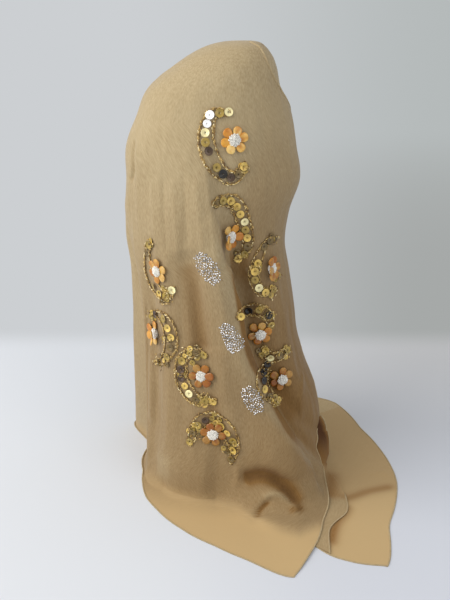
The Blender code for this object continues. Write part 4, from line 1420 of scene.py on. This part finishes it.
def scatter(middle, halves, count, local):
    # Picture places kept apart from one another, at random along and across a widening line
    middle = np.array(middle, float)
    kept = []
    for trial in range(count * 40):
        at = local.uniform(0.0, len(middle) - 1.0)
        base = min(int(at), len(middle) - 2)
        way = middle[base + 1] - middle[base]
        spot = middle[base] + way * (at - base)
        half = np.interp(at, np.arange(len(halves)), halves)
        spot = spot + unit(way)[::-1] * (-1.0, 1.0) * local.uniform(-half, half)
        if all(np.hypot(*(spot - other)) > stoneLook["gap"] for other in kept):
            kept.append(spot)
        if len(kept) == count:
            break
    return kept


def makeStones():
    # Low eight-sided stones with a flat table, each turned and tilted a little
    look = stoneLook
    local = np.random.default_rng(61)
    places, bases, tints = [], [], []
    for middle, halves, count in stoneClusters:
        for px, py in scatter(middle, halves, count, local):
            hit = pixelHit(px, py)
            if hit is None:
                continue
            point, normal = hit
            right, up, facing = frameOf(normal)
            spin = local.uniform(0.0, np.pi)
            tilt = unit(normal + local.normal(0.0, look["tilt"], 3))
            axes = np.stack([turned(right, up, spin), turned(up, -right, spin), tilt])
            places.append(point + normal * look["sink"])
            bases.append(axes * look["radius"] * local.uniform(*look["sizes"]))
            tone = local.choice(look["tones"], p=look["shares"])
            tints.append((*(part * tone for part in look["colour"]), 1.0))
    faces = tubeFaces(len(look["profile"]), 8)
    template = latheParts(look["profile"], 8)
    return joined("clear_stones", template, faces, places, bases, tints, stoneMaterial)


stoneMaterial = tintedMaterial("clear_stone", 0.1, 1.0, metallic=0.5)
stoneSheet = makeStones()
stoneSheet.data.shade_flat()
for item in (sequinSheet, beadSheet, stoneSheet):
    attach(item, "root")
print("sequins, beads and stones made")


# The stand keeps its CAD shape and gets its own plastic, whose tone wanders a little
standLook = {"colour": (226, 222, 214), "darker": 0.94, "roughness": 0.5, "scale": 90.0}
standMaterial, tree, shader = newMaterial("form_plastic")
paleTone = colourOf(*standLook["colour"])
darkTone = (*(part * standLook["darker"] for part in paleTone[:3]), 1.0)
grain = noiseValue(tree, coordsOf(tree)["Object"], standLook["scale"], 4.0)
feed(tree, shader, {
    "Base Color": mixColour(tree, grain, darkTone, paleTone),
    "Roughness": standLook["roughness"], "Specular IOR Level": 0.5,
})
for name in ("form_head", "form_base"):
    item = bpy.data.objects[name]
    item.data.materials.clear()
    item.data.materials.append(standMaterial)


# The table runs back to a line, then becomes the pale wall, told apart by colour alone; the wall
# part glows by emission. The sideways painted shade, darker to the right, follows X / (Y + 0.75 m),
# so that it holds across both
tableLook = {
    "near": (213, 218, 225), "nearRight": (204, 209, 219), "farRight": (198, 200, 203),
    "wall": (204, 207, 210), "wallRight": (166, 169, 168), "wallHigh": (181, 186, 186),
    "line": 0.345, "soft": 0.05, "camera": 0.75, "halfWidth": 7.0, "front": -3.0,
    "back": 3.5, "top": 5.0, "aside": (-0.16, 0.34), "inFront": (-0.68, -0.3),
    "farStart": -0.2, "highStart": 0.6, "roughness": 0.7,
}


def tableMaterial():
    # Near, far and wall tones blended by how far away and how far aside a place is: painted shade
    # to the right, and a glowing wall
    look = tableLook
    material, tree, shader = newMaterial("table")
    split = node(tree, "SeparateXYZ", {"Vector": coordsOf(tree)["Object"]})
    sideX, awayY = split.outputs["X"], split.outputs["Y"]

    def blend(value, low, high):
        return rangeValue(tree, value, low, high, interpolation_type="SMOOTHSTEP")

    def between(share, first, second):
        ends = [colourOf(*look[end]) if isinstance(end, str) else end for end in (first, second)]
        return mixColour(tree, share, *ends)

    away = node(tree, "Math", {0: awayY, 1: look["camera"]}).outputs[0]
    sideways = node(tree, "Math", {0: sideX, 1: away}, operation="DIVIDE").outputs[0]
    aside = node(tree, "Math", {
        0: blend(sideways, *look["aside"]), 1: blend(awayY, *look["inFront"]),
    }, operation="MULTIPLY").outputs[0]
    beyond = blend(awayY, look["line"] - look["soft"], look["line"] + look["soft"])
    right = between(blend(awayY, look["farStart"], look["line"]), "nearRight", "farRight")
    dim = between(blend(awayY, look["highStart"], look["back"]), "wallRight", "wallHigh")
    feed(tree, shader, {
        "Base Color": between(beyond, between(aside, "near", right), (0.0, 0.0, 0.0, 1.0)),
        "Emission Color": between(aside, "wall", dim), "Emission Strength": beyond,
        "Roughness": look["roughness"], "Specular IOR Level": 0.0,
    })
    return material


wide, front, back, top = (tableLook[key] / mm for key in ("halfWidth", "front", "back", "top"))
table = makeMesh(
    "table",
    [(-wide, front, 0), (wide, front, 0), (wide, back, 0), (-wide, back, 0), (wide, back, top),
     (-wide, back, top)],
    [[[0, 1, 2, 3], [3, 2, 4, 5]]], tableMaterial(), smooth=False,
)


# Soft studio light: a large key from the upper left front, a weak fill from the right
lights = (
    ("key", (-1.7, -0.6, 1.3), (0.0, 0.0, 0.25), 2.2, 42.0, (255, 250, 243)),
    ("fill", (1.2, -1.2, 1.0), (0.0, 0.0, 0.2), 1.2, 5.0, (250, 248, 246)),
)
worldLook = {"colour": (231, 230, 230), "strength": 0.85}


def addObject(name, data, place, turn):
    # A light or camera at its place in m, turned by angles in radians
    item = bpy.data.objects.new(name, data)
    item.location = place
    item.rotation_euler = turn
    bpy.context.scene.collection.objects.link(item)
    return item


for name, place, target, size, power, colour in lights:
    lamp = bpy.data.lights.new(name, "AREA")
    lamp.shape = "DISK"
    lamp.size = size
    lamp.energy = power
    lamp.color = colourOf(*colour)[:3]
    way = Vector(target) - Vector(place)
    addObject(name, lamp, place, way.to_track_quat("-Z", "Y").to_euler())

world = bpy.data.worlds.new("studio")
world.use_nodes = True
feed(world.node_tree, world.node_tree.nodes["Background"], {
    "Color": colourOf(*worldLook["colour"]), "Strength": worldLook["strength"],
})
bpy.context.scene.world = world

camera = bpy.data.cameras.new("camera")
camera.sensor_fit = "VERTICAL"
camera.sensor_height = viewPoint["sensor"]
camera.lens = viewPoint["lens"]
turn = (math.radians(90.0 - viewPoint["pitch"]), 0.0, 0.0)
bpy.context.scene.camera = addObject("camera", camera, viewPoint["place"], turn)
bpy.context.scene.view_settings.view_transform = "Standard"
print("stage, lights and camera set")

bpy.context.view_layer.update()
